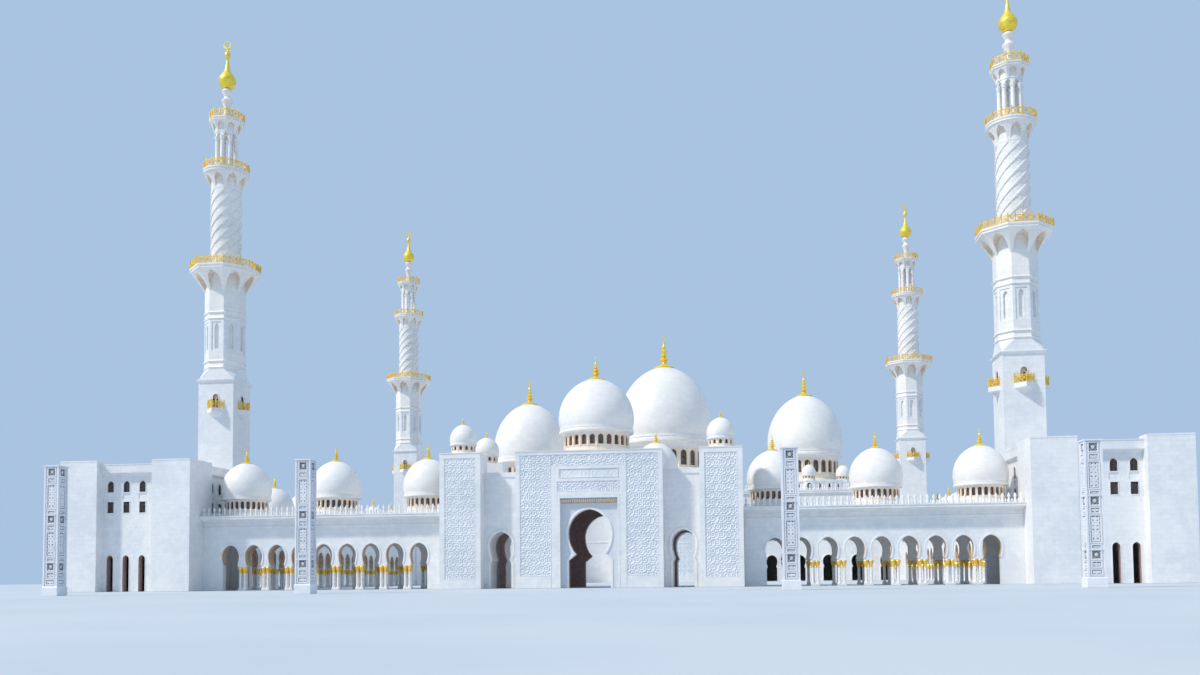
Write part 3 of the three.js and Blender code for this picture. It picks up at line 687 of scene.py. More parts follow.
class Recipe:
    """A material's node tree, with one short method for each kind of step."""

    def __init__(self, name: str, metre: float) -> None:
        """Starts a material with an empty tree, a shader and an output.

        Args:
            name: The material's name.
            metre: Frame metres in one building metre.
        """
        self.material = bpy.data.materials.new(name)
        self.material.use_nodes = True
        self.tree = self.material.node_tree
        self.tree.nodes.clear()
        self.metre = metre
        self.shader = self.tree.nodes.new("ShaderNodeBsdfPrincipled")
        output = self.tree.nodes.new("ShaderNodeOutputMaterial")
        self.tree.links.new(self.shader.outputs["BSDF"], output.inputs["Surface"])

    def feed(self, socket: Socket, value: Socket | float | Sequence[float]) -> None:
        """Links a socket, or sets a plain value on it.

        Args:
            socket: The input.
            value: Another node's output, a number, a vector or a colour.
        """
        if isinstance(value, bpy.types.NodeSocket):
            self.tree.links.new(value, socket)
        elif isinstance(value, tuple) and socket.type == "RGBA":
            socket.default_value = (*value[:3], 1.0)
        else:
            socket.default_value = value

    def node(self, kind: str, feeds: dict[str | int, object], **settings: object) -> bpy.types.Node:
        """Adds a node.

        Args:
            kind: Its type name.
            feeds: Sockets or values for its inputs, by name or number.
            **settings: Its options.

        Returns:
            The node.
        """
        made = self.tree.nodes.new(kind)
        for key, value in settings.items():
            setattr(made, key, value)
        for key, value in feeds.items():
            self.feed(made.inputs[key], value)
        return made

    def finish(self, **values: object) -> None:
        """Feeds the shader's sockets, whose names are given with _ for a blank."""
        for key, value in values.items():
            self.feed(self.shader.inputs[key.replace("_", " ")], value)

    def metres(self) -> Socket:
        """Object coordinates in building metres."""
        place = self.node("ShaderNodeTexCoord", {}).outputs["Object"]
        return self.scaled(place, (1 / self.metre,) * 3)

    def own(self) -> Socket:
        """The point relative to its own sub-part's axis, in building metres."""
        return self.node("ShaderNodeAttribute", {}, attribute_name="local").outputs["Vector"]

    def relief(self) -> Socket:
        """1 on a plain surface down to 0 at the bottom of the carving."""
        return self.node("ShaderNodeAttribute", {}, attribute_name="relief").outputs["Fac"]

    def scaled(self, vector: Socket, factors: Sequence[float]) -> Socket:
        """A vector times three factors."""
        return self.node("ShaderNodeVectorMath", {0: vector, 1: tuple(factors)},
                         operation="MULTIPLY").outputs["Vector"]

    def axes(self, vector: Socket) -> tuple[Socket, Socket, Socket]:
        """The three values of a vector."""
        parts = self.node("ShaderNodeSeparateXYZ", {0: vector}).outputs
        return parts[0], parts[1], parts[2]

    def vector(self, x: Socket, y: Socket) -> Socket:
        """A vector of two values, with z = 0."""
        return self.node("ShaderNodeCombineXYZ", {0: x, 1: y}).outputs[0]

    def calc(self, operation: str, *values: object) -> Socket:
        """One arithmetic step."""
        return self.node("ShaderNodeMath", dict(enumerate(values)), operation=operation).outputs[0]

    def noise(self, vector: Socket, scale: float, detail: float = 3.0, rough: float = 0.5) -> Socket:
        """Cloudy noise between 0 and 1."""
        feeds = {"Vector": vector, "Scale": scale, "Detail": detail, "Roughness": rough}
        return self.node("ShaderNodeTexNoise", feeds).outputs["Fac"]

    def span(self, value: Socket, low: float, high: float, start: float = 0.0, end: float = 1.0) -> Socket:
        """Turns low to high into start to end, smoothly and with both ends held."""
        feeds = {"Value": value, "From Min": low, "From Max": high, "To Min": start, "To Max": end}
        return self.node("ShaderNodeMapRange", feeds, interpolation_type="SMOOTHSTEP").outputs["Result"]

    def mix(self, first: object, second: object, factor: object, blend: str = "MIX") -> Socket:
        """Two colours mixed by a factor."""
        return self.node("ShaderNodeMix", {0: factor, 6: first, 7: second}, data_type="RGBA",
                         blend_type=blend).outputs[2]

    def bump(self, height: Socket, distance: float, strength: float = 1.0) -> None:
        """Adds a bump on top of the bumps that are there.

        Args:
            height: Height from 0 to 1.
            distance: How high 1 is, in building metres.
            strength: Its strength from 0 to 1.
        """
        feeds: dict[str | int, object] = {
            "Height": height, "Distance": distance * self.metre, "Strength": strength}
        before = self.shader.inputs["Normal"].links
        if before:
            feeds["Normal"] = before[0].from_socket
        made = self.node("ShaderNodeBump", feeds)
        self.tree.links.new(made.outputs["Normal"], self.shader.inputs["Normal"])


@dataclass(frozen=True)
class Finish:
    """A finish with its material's name; each kind of finish paints its own node tree."""

    name: str

    def build(self, metre: float) -> bpy.types.Material:
        """Makes the material.

        Args:
            metre: Frame metres in one building metre.

        Returns:
            The material.
        """
        recipe = Recipe(self.name, metre)
        self.paint(recipe, recipe.metres())
        return recipe.material

    def paint(self, recipe: Recipe, place: Socket) -> None:
        """Feeds the shader.

        Args:
            recipe: The node tree to fill.
            place: The point in building metres.
        """
        raise NotImplementedError


@dataclass(frozen=True)
class Marble(Finish):
    """White marble slabs: soft clouds, thin grey veins, joints, and rain streaks down the wall.

    The slab is its length and height in building metres. In a round layout the radius turns an angle
    into a length. The hollow is painted shade: a colour mixed in towards the bottom of a carving, where
    shade falls.
    """

    light: Colour = (0.88, 0.87, 0.855)
    dark: Colour = (0.78, 0.785, 0.79)
    layout: Layout = Layout.WALLS
    slab: Pair = (1.5, 0.75)
    joint: float = 0.03
    joint_tone: float = 0.93
    radius: float = 5.0
    hollow: Colour | None = None
    streak: float = 0.5
    rough: float = 0.42

    def paint(self, recipe: Recipe, place: Socket) -> None:
        """Clouds, then veins, streaks, joints and the painted shade of the hollows."""
        clouds = recipe.calc("MULTIPLY_ADD", recipe.noise(place, 0.11, 2.0), 0.55,
                            recipe.calc("MULTIPLY", recipe.noise(place, 0.85, 5.0, 0.6), 0.45))
        tint = recipe.mix(self.dark, self.light, recipe.span(clouds, 0.4, 0.6))
        ridge = recipe.calc("ABSOLUTE", recipe.calc("SUBTRACT", recipe.noise(place, 0.5, 7.0, 0.62), 0.5))
        vein = recipe.span(ridge, 0.0, 0.012, 0.22, 0.0)
        tint = recipe.mix(tint, (0.55, 0.58, 0.62), vein)
        stripes = recipe.noise(recipe.scaled(place, (1.4, 1.4, 0.09)), 1.0, 4.0, 0.6)
        tint = recipe.mix(tint, (0.74, 0.72, 0.68), recipe.span(stripes, 0.56, 0.74, 0.0, 0.3 * self.streak))
        grain = recipe.noise(place, 22.0, 3.0)
        if self.layout is not Layout.NONE:
            slabs = self.slabs(recipe, place)
            tint = recipe.mix(tint, slabs.outputs["Color"], 1.0, "MULTIPLY")
            recipe.bump(recipe.calc("SUBTRACT", 1.0, slabs.outputs["Fac"]), 0.012, 0.7)
        # Painted shade: the deeper a point of the carving lies, the more it takes the hollow colour.
        if self.hollow is not None:
            depth = recipe.relief()
            tint = recipe.mix(recipe.mix(self.hollow, tint, 0.12), tint, recipe.span(depth, 0.05, 0.85))
        recipe.bump(grain, 0.004, 0.35)
        shine = recipe.span(recipe.noise(place, 3.0, 4.0), 0.3, 0.7, self.rough - 0.07, self.rough + 0.09)
        recipe.finish(Base_Color=tint, Roughness=shine, IOR=1.5)

    def slabs(self, recipe: Recipe, place: Socket) -> bpy.types.Node:
        """Rows of slabs, each a little brighter or darker than the next, with joints between them.

        Args:
            recipe: The node tree.
            place: The point in building metres.

        Returns:
            The brick node.
        """
        if self.layout is Layout.ROUND:
            x, y, up = recipe.axes(recipe.own())
            along = recipe.calc("MULTIPLY", recipe.calc("ARCTAN2", y, x), self.radius)
        else:
            x, y, up = recipe.axes(place)
            along = recipe.calc("ADD", x, y)
        feeds = {
            "Vector": recipe.vector(along, up), "Color1": (1.0, 1.0, 1.0), "Color2": (0.955, 0.96, 0.97),
            "Mortar": (self.joint_tone,) * 3, "Scale": 1.0, "Mortar Size": self.joint,
            "Mortar Smooth": 0.3, "Brick Width": self.slab[0], "Row Height": self.slab[1],
        }
        return recipe.node("ShaderNodeTexBrick", feeds)


@dataclass(frozen=True)
class Gilding(Finish):
    """Gold leaf on metal, with leaf edges, small dents and a darker tone in patches."""

    light: Colour = (0.95, 0.66, 0.13)
    dark: Colour = (0.72, 0.40, 0.06)
    rough: float = 0.3
    metal: float = 0.85

    def paint(self, recipe: Recipe, place: Socket) -> None:
        """Patches of worn leaf, and dark edges of the leaves."""
        patches = recipe.noise(place, 1.6, 5.0, 0.65)
        tint = recipe.mix(self.dark, self.light, recipe.span(patches, 0.32, 0.58))
        leaves = recipe.node("ShaderNodeTexVoronoi", {"Vector": place, "Scale": 4.0},
                             feature="DISTANCE_TO_EDGE").outputs["Distance"]
        tint = recipe.mix(self.dark, tint, recipe.span(leaves, 0.0, 0.03, 0.55, 1.0))
        recipe.bump(recipe.noise(place, 9.0, 3.0), 0.01, 0.4)
        shine = recipe.span(recipe.noise(place, 5.0, 4.0), 0.3, 0.7, self.rough - 0.08, self.rough + 0.14)
        recipe.finish(Base_Color=tint, Roughness=shine, Metallic=self.metal)


@dataclass(frozen=True)
class Pane(Finish):
    """Dark brown window glass with faint waves and dust in patches."""

    tint: Colour = (0.075, 0.035, 0.022)
    dust: Colour = (0.2, 0.13, 0.09)

    def paint(self, recipe: Recipe, place: Socket) -> None:
        """Patches of dust over waves."""
        cloud = recipe.noise(place, 0.9, 4.0, 0.6)
        tint = recipe.mix(self.tint, self.dust, recipe.span(cloud, 0.35, 0.75))
        recipe.bump(recipe.noise(place, 1.2, 2.0), 0.02, 0.25)
        shine = recipe.span(recipe.noise(place, 6.0, 3.0), 0.3, 0.7, 0.08, 0.22)
        recipe.finish(Base_Color=tint, Roughness=shine, IOR=1.52, Coat_Weight=0.5)


@dataclass(frozen=True)
class Plaster(Finish):
    """Tinted stone of the reveals and soffits, also used as painted shade: fine grain, soft blotches and
    shallow courses.
    """

    light: Colour
    dark: Colour
    course: float = 0.5

    def paint(self, recipe: Recipe, place: Socket) -> None:
        """Blotches, and a groove at each course."""
        blotch = recipe.noise(place, 1.3, 5.0, 0.6)
        tint = recipe.mix(self.dark, self.light, recipe.span(blotch, 0.35, 0.62))
        up = recipe.axes(place)[2]
        step = recipe.calc("PINGPONG", up, self.course / 2)
        groove = recipe.span(step, 0.0, 0.03)
        tint = recipe.mix(recipe.mix(tint, self.dark, 0.6), tint, groove)
        recipe.bump(groove, 0.01, 0.5)
        recipe.bump(recipe.noise(place, 14.0, 4.0), 0.008, 0.5)
        recipe.finish(Base_Color=tint, Roughness=recipe.span(blotch, 0.2, 0.8, 0.5, 0.72))


@dataclass(frozen=True)
class LatticeTile(Finish):
    """Pale tiles with a grey-blue star lattice and small blue and terracotta dots."""

    ground: Colour = (0.84, 0.86, 0.88)
    line: Colour = (0.5, 0.56, 0.64)
    first_dot: Colour = (0.2, 0.4, 0.62)
    second_dot: Colour = (0.6, 0.27, 0.14)
    cell: float = 0.42

    def paint(self, recipe: Recipe, place: Socket) -> None:
        """Two families of lines at 45 degrees, and a dot in each cell."""
        x, _, up = recipe.axes(place)
        first = recipe.calc("DIVIDE", recipe.calc("ADD", x, up), self.cell)
        second = recipe.calc("DIVIDE", recipe.calc("SUBTRACT", x, up), self.cell)
        away = [recipe.calc("PINGPONG", way, 0.5) for way in (first, second)]
        lines = recipe.span(recipe.calc("MINIMUM", *away), 0.07, 0.14)
        middle = recipe.calc("MINIMUM", *away)
        dot = recipe.span(middle, 0.3, 0.36)
        parity = recipe.calc("MODULO", recipe.calc("ABSOLUTE", recipe.calc("FLOOR", first)), 2.0)
        spot = recipe.mix(self.first_dot, self.second_dot, parity)
        tint = recipe.mix(self.line, self.ground, lines)
        tint = recipe.mix(tint, spot, recipe.calc("MULTIPLY", dot, 0.8))
        cloud = recipe.noise(place, 1.1, 4.0)
        tint = recipe.mix(tint, (0.7, 0.7, 0.72), recipe.span(cloud, 0.45, 0.8, 0.0, 0.3))
        recipe.bump(lines, 0.012, 0.6)
        recipe.finish(Base_Color=tint, Roughness=recipe.span(cloud, 0.3, 0.7, 0.28, 0.45))


@dataclass(frozen=True)
class InlaidColumn(Finish):
    """White column marble with small inlaid flowers in red, green and blue stone."""

    stone: Colour = (0.88, 0.86, 0.84)
    flower: tuple[Colour, Colour] = ((0.45, 0.12, 0.14), (0.12, 0.26, 0.36))

    def paint(self, recipe: Recipe, place: Socket) -> None:
        """Petals are the middles of scattered cells, stems are thin noise ridges."""
        cells = recipe.node("ShaderNodeTexVoronoi", {"Vector": place, "Scale": 3.6})
        petal = recipe.span(cells.outputs["Distance"], 0.16, 0.24, 0.75, 0.0)
        hue = recipe.axes(cells.outputs["Color"])[0]
        tone = recipe.mix(self.flower[0], self.flower[1], recipe.span(hue, 0.4, 0.6))
        ridge = recipe.calc("ABSOLUTE", recipe.calc("SUBTRACT", recipe.noise(place, 2.2, 2.0), 0.5))
        stem = recipe.span(ridge, 0.0, 0.012, 0.5, 0.0)
        tint = recipe.mix(self.stone, (0.2, 0.34, 0.2), stem)
        tint = recipe.mix(tint, tone, petal)
        recipe.finish(Base_Color=tint, Roughness=recipe.span(hue, 0.0, 1.0, 0.25, 0.36))


@dataclass(frozen=True)
class StudioFloor(Finish):
    """Plain pale floor with the faintest cloud and grain."""

    tint: Colour = (0.54, 0.58, 0.63)

    def paint(self, recipe: Recipe, place: Socket) -> None:
        """Faint clouds and grain."""
        cloud = recipe.noise(place, 0.05, 4.0)
        tint = recipe.mix(self.tint, (0.58, 0.61, 0.64), recipe.span(cloud, 0.35, 0.65))
        recipe.bump(recipe.noise(place, 8.0, 2.0), 0.004, 0.2)
        recipe.finish(Base_Color=tint, Roughness=recipe.span(cloud, 0.3, 0.7, 0.55, 0.7))


@dataclass
class Finishes:
    """Every finish of the building, each made once and then shared."""

    metre: float
    made: dict[str, bpy.types.Material] = field(default_factory=dict)

    def get(self, finish: Finish) -> bpy.types.Material:
        """The material of a finish."""
        if finish.name not in self.made:
            self.made[finish.name] = finish.build(self.metre)
        return self.made[finish.name]


WALL = Marble("wall_marble")
SMOOTH = Marble("smooth_marble", layout=Layout.NONE, rough=0.36)
DRUM = Marble("warm_drum_marble", light=(0.98, 0.86, 0.72), dark=(0.92, 0.79, 0.65), streak=0.8)
SHAFT = Marble("shaft_marble", (0.91, 0.875, 0.83), (0.82, 0.795, 0.76), Layout.ROUND, (1.36, 0.8),
               joint_tone=0.9, radius=3.475)
DOME = Marble("dome_marble", (0.93, 0.885, 0.84), (0.86, 0.825, 0.79), Layout.ROUND, (2.6, 0.85),
              radius=12.0, streak=0.3, rough=0.34)
SMALL_DOME_STONE = replace(DOME, name="small_dome_marble", slab=(1.38, 0.6), joint=0.02, radius=4.4)
# The hollow colours below are painted shade in the carvings: pale blue on the gate and porch, near black on
# the light towers.
RELIEF = Marble("relief_marble", (0.87, 0.88, 0.9), (0.77, 0.79, 0.82), Layout.NONE,
                hollow=(0.33, 0.42, 0.56), streak=0.2, rough=0.5)
TOWER_RELIEF = Marble("tower_relief_marble", (0.8, 0.8, 0.82), (0.68, 0.7, 0.74), Layout.NONE,
                      hollow=(0.12, 0.13, 0.17), streak=0.7, rough=0.5)
TOWER_STONE = Marble("tower_frame_marble", (0.84, 0.84, 0.86), (0.74, 0.76, 0.8), Layout.NONE,
                     streak=0.6, rough=0.46)
# Tan of the reveals, and also painted shadow in the portal's frieze behind its row of small posts.
TAN = Plaster("tan_reveal_stone", (0.72, 0.5, 0.31), (0.55, 0.36, 0.21))
# Warm tint on the sides and heads of the minarets' corbel niches: painted shade under their heads.
NICHE_SHADE = Plaster("warm_niche_stone", (0.86, 0.74, 0.6), (0.76, 0.62, 0.47))
# Brown of the arch reveals, and also painted shade on the inner faces of the portals and of the wing walls.
BROWN_AND_SHADE = Plaster("brown_soffit_stone", (0.58, 0.4, 0.36), (0.46, 0.3, 0.27), 0.35)
TILES = LatticeTile("portal_lattice_tile")
COLUMN = InlaidColumn("inlaid_column_marble")
GOLD = Gilding("gold_leaf", (1.0, 0.77, 0.1), (0.88, 0.55, 0.05), 0.36, 0.5)
RAIL_GOLD = Gilding("rail_gold", (1.0, 0.71, 0.15), (0.84, 0.47, 0.08), 0.42, 0.5)
GLASS = Pane("brown_window_glass")
DARK_GLASS = Pane("dark_window_glass", (0.022, 0.015, 0.013), (0.1, 0.07, 0.055))
BRONZE = Gilding("dark_bronze", (0.13, 0.085, 0.065), (0.07, 0.045, 0.035), 0.5, 0.3)


@dataclass
class Workshop:
    """Turns shapes into pieces of the scene."""

    site: Site
    finishes: Finishes
    triangles: int = 0

    def make(self, name: str, shape: Shape, skins: Sequence[Finish], nodes: Sequence[str] = ()) -> None:
        """Makes one piece that rides with the building; its place is in its mesh.

        Args:
            name: The piece's name.
            shape: Its solids in building metres.
            skins: Its finishes, in the order of the shape's skin numbers.
            nodes: The CAD nodes that it stands for.
        """
        mesh = bpy.data.meshes.new(name)
        mesh.vertices.add(len(shape.points))
        mesh.vertices.foreach_set("co", self.site.place(shape.points).astype(np.float32).ravel())
        mesh.loops.add(len(shape.corners))
        mesh.loops.foreach_set("vertex_index", shape.corners.astype(np.int32))
        mesh.polygons.add(len(shape.sizes))
        starts = np.cumsum(shape.sizes) - shape.sizes
        mesh.polygons.foreach_set("loop_start", starts.astype(np.int32))
        mesh.polygons.foreach_set("material_index", shape.skins.astype(np.int32))
        local = mesh.attributes.new("local", "FLOAT_VECTOR", "POINT")
        local.data.foreach_set("vector", shape.local.astype(np.float32).ravel())
        relief = mesh.attributes.new("relief", "FLOAT", "POINT")
        relief.data.foreach_set("value", shape.relief.astype(np.float32))
        for finish in skins:
            mesh.materials.append(self.finishes.get(finish))
        mesh.update(calc_edges=True)
        mesh.validate()
        self.face_out(mesh)
        mesh.polygons.foreach_set("use_smooth", np.ones(len(mesh.polygons), bool))
        mesh.set_sharp_from_angle(angle=SHARP_EDGE)
        piece = bpy.data.objects.new(name, mesh)
        bpy.context.scene.collection.objects.link(piece)
        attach(piece, "root")
        if nodes:
            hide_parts(*nodes)
        count = int((shape.sizes - 2).sum())
        self.triangles += count
        LOG.info("%s: %d triangles", name, count)

    def pair(self, name: str, right: Shape, skins: Sequence[Finish], nodes: Sequence[str] = ()) -> None:
        """Makes a right piece and its mirror image on the left.

        Args:
            name: Name of both pieces without the side.
            right: Solids of the right piece in building metres.
            skins: Their finishes.
            nodes: The CAD nodes that each stands for, without the side.
        """
        for side, sign in SIDES:
            self.make(f"{name}_{side}", right if sign > 0 else right.mirrored(), skins,
                      [f"{node}_{side}" for node in nodes])

    @staticmethod
    def face_out(mesh: bpy.types.Mesh) -> None:
        """Turns every face outwards.

        Args:
            mesh: A mesh of closed solids.
        """
        work = bmesh.new()
        work.from_mesh(mesh)
        bmesh.ops.recalc_face_normals(work, faces=work.faces)
        work.to_mesh(mesh)
        work.free()


class Part:
    """A sub-assembly of the building."""

    def build(self, shop: Workshop) -> None:
        """Makes the sub-assembly's pieces.

        Args:
            shop: Where shapes are turned into pieces.
        """
        raise NotImplementedError


def smoothed(profile: Profile, steps: int = 3) -> list[Pair]:
    """A smooth curve through the points of a profile, with its ends kept.

    Each stretch is a cubic whose slope at a point is half the way between its two neighbours.

    Args:
        profile: Points of (radius, z).
        steps: Steps between two points.

    Returns:
        The points of the curve, none with a radius below 0.
    """
    points = np.asarray(profile, float)
    slope = np.gradient(points, axis=0)
    t = (np.arange(steps) / steps)[:, None, None]
    start, end, out, into = points[:-1], points[1:], slope[:-1], slope[1:]
    curve = ((2 * t**3 - 3 * t**2 + 1) * start + (t**3 - 2 * t**2 + t) * out
             + (3 * t**2 - 2 * t**3) * end + (t**3 - t**2) * into)
    line = np.concatenate([curve.transpose(1, 0, 2).reshape(-1, 2), points[-1:]])
    line[:, 0] = np.maximum(line[:, 0], 0.0)
    return [(float(radius), float(z)) for radius, z in line]


def bead(radius: float, z: float, size: float) -> list[Pair]:
    """A half-round bead on a profile, from below it to above it."""
    angle = np.linspace(-math.pi / 2, math.pi / 2, 5)
    return [(radius + size * math.cos(a), z + size * math.sin(a)) for a in angle]


def hoop(section: Profile, sides: int, skin: int = 0) -> Shape:
    """A closed section of (radius, z), clear of the axis, turned about the Z axis.

    Args:
        section: The section.
        sides: Number of points round the axis.
        skin: Finish number.

    Returns:
        The closed ring.
    """
    radius, z = np.asarray(section, float).T
    turn = angles(sides)[:, None]
    surface = np.stack([radius * np.cos(turn), radius * np.sin(turn),
                        np.broadcast_to(z, (sides, len(z)))], -1)
    return grid(surface, wrap_u=True, wrap_v=True, skin=skin)


def flare(low: float, high: float, start: float, end: float, power: float,
          niche: Triple, flat: bool) -> Shape:
    """A corbel that widens upwards, with a deep arched niche in each side.

    The reach at height t of the way up is start + (end - start) * t ** power. A niche's back stays at
    the start reach; its half width is even up to the spring and then follows a circle to the top.

    Args:
        low: Foot of the corbel.
        high: Its top.
        start: Reach at the foot.
        end: Reach at the top.
        power: How late it widens.
        niche: Half width, spring height and top height of a niche.
        flat: Flat sides in plan, or a round plan.

    Returns:
        The closed corbel: skin 0 marble, 1 the niches' sides and heads, whose warm tint is painted shade.
    """
    width, spring, top = niche
    sides = 8
    z = np.linspace(low, high, 15)
    share = (z - low) / (high - low)
    reach = start + (end - start) * share**power
    rise = np.clip((z - spring) / (top - spring), 0, 1)
    half = width * np.sqrt(1 - rise**2)
    half[0] = width
    edge = reach * math.tan(math.pi / sides) if flat else reach * math.pi / sides
    across = np.stack([-edge, -half, -half, -half / 2, 0 * half, half / 2, half, half], 1)
    deep = np.array([0, 0, 1, 1, 1, 1, 1, 0])
    inside = np.where(half[:, None] > 0, deep, 0)
    depth = np.where(inside == 1, start, reach[:, None])
    face = angles(sides)[None, :, None]
    if flat:
        x = across[:, None] * np.cos(face) + depth[:, None] * np.sin(face)
        y = across[:, None] * np.sin(face) - depth[:, None] * np.cos(face)
    else:
        angle = face + across[:, None] / reach[:, None, None]
        x, y = depth[:, None] * np.sin(angle), -depth[:, None] * np.cos(angle)
    surface = np.stack([x, y, np.broadcast_to(z[:, None, None], x.shape)], -1)
    shape = grid(surface.reshape(len(z), -1, 3), wrap_v=True, caps=True)
    quads = shape.skins[:-2].reshape(len(z) - 1, sides, 8)
    # Skin 1, painted shade, goes on the niches' sides and heads.
    quads[:, :, [1, 6]] = np.where(half[:-1, None, None] > 0, 1, 0)
    return shape


def railing(corners: Array, low: float, high: float, panels: int, closed: bool = True) -> Shape:
    """A gilded lattice rail along a line of corners: posts, two rails and a cross in each panel.

    Args:
        corners: Plan corners (n x 2).
        low: Floor of the balcony.
        high: Top of the rail.
        panels: Panels on each side.
        closed: Whether the line closes.

    Returns:
        All bars of the rail.
    """
    first = corners if closed else corners[:-1]
    second = np.roll(corners, -1, 0) if closed else corners[1:]
    t = (np.arange(panels) / panels)[None, :, None]
    left = (first[:, None] + (second - first)[:, None] * t).reshape(-1, 2)
    right = (first[:, None] + (second - first)[:, None] * (t + 1 / panels)).reshape(-1, 2)
    posts = left if closed else np.vstack([left, corners[-1:]])

    foot, head = low + 0.14, high - 0.08
    middle, centre = (foot + head) / 2, (left + right) / 2
    quarter = (right - left) / 4
    ring = [at(centre - quarter, middle), at(centre, middle + 0.3), at(centre + quarter, middle),
            at(centre, middle - 0.3)]
    return Shape.join([
        bars(at(posts, low - SINK), at(posts, high + 0.34), 0.18),
        bars(at(first, head), at(second, head), 0.15, 0.13),
        bars(at(first, foot), at(second, foot), 0.12, 0.1),
        bars(at(left, foot), at(right, head), 0.07), bars(at(left, head), at(right, foot), 0.07),
        *(bars(ring[i], ring[(i + 1) % 4], 0.07) for i in range(4)),
    ])


def polygon_plan(reach: float, sides: int) -> Array:
    """Corners of a polygon with flat sides that face the axes."""
    angle = math.pi / sides + angles(sides)
    return reach / math.cos(math.pi / sides) * np.stack([np.cos(angle), np.sin(angle)], 1)


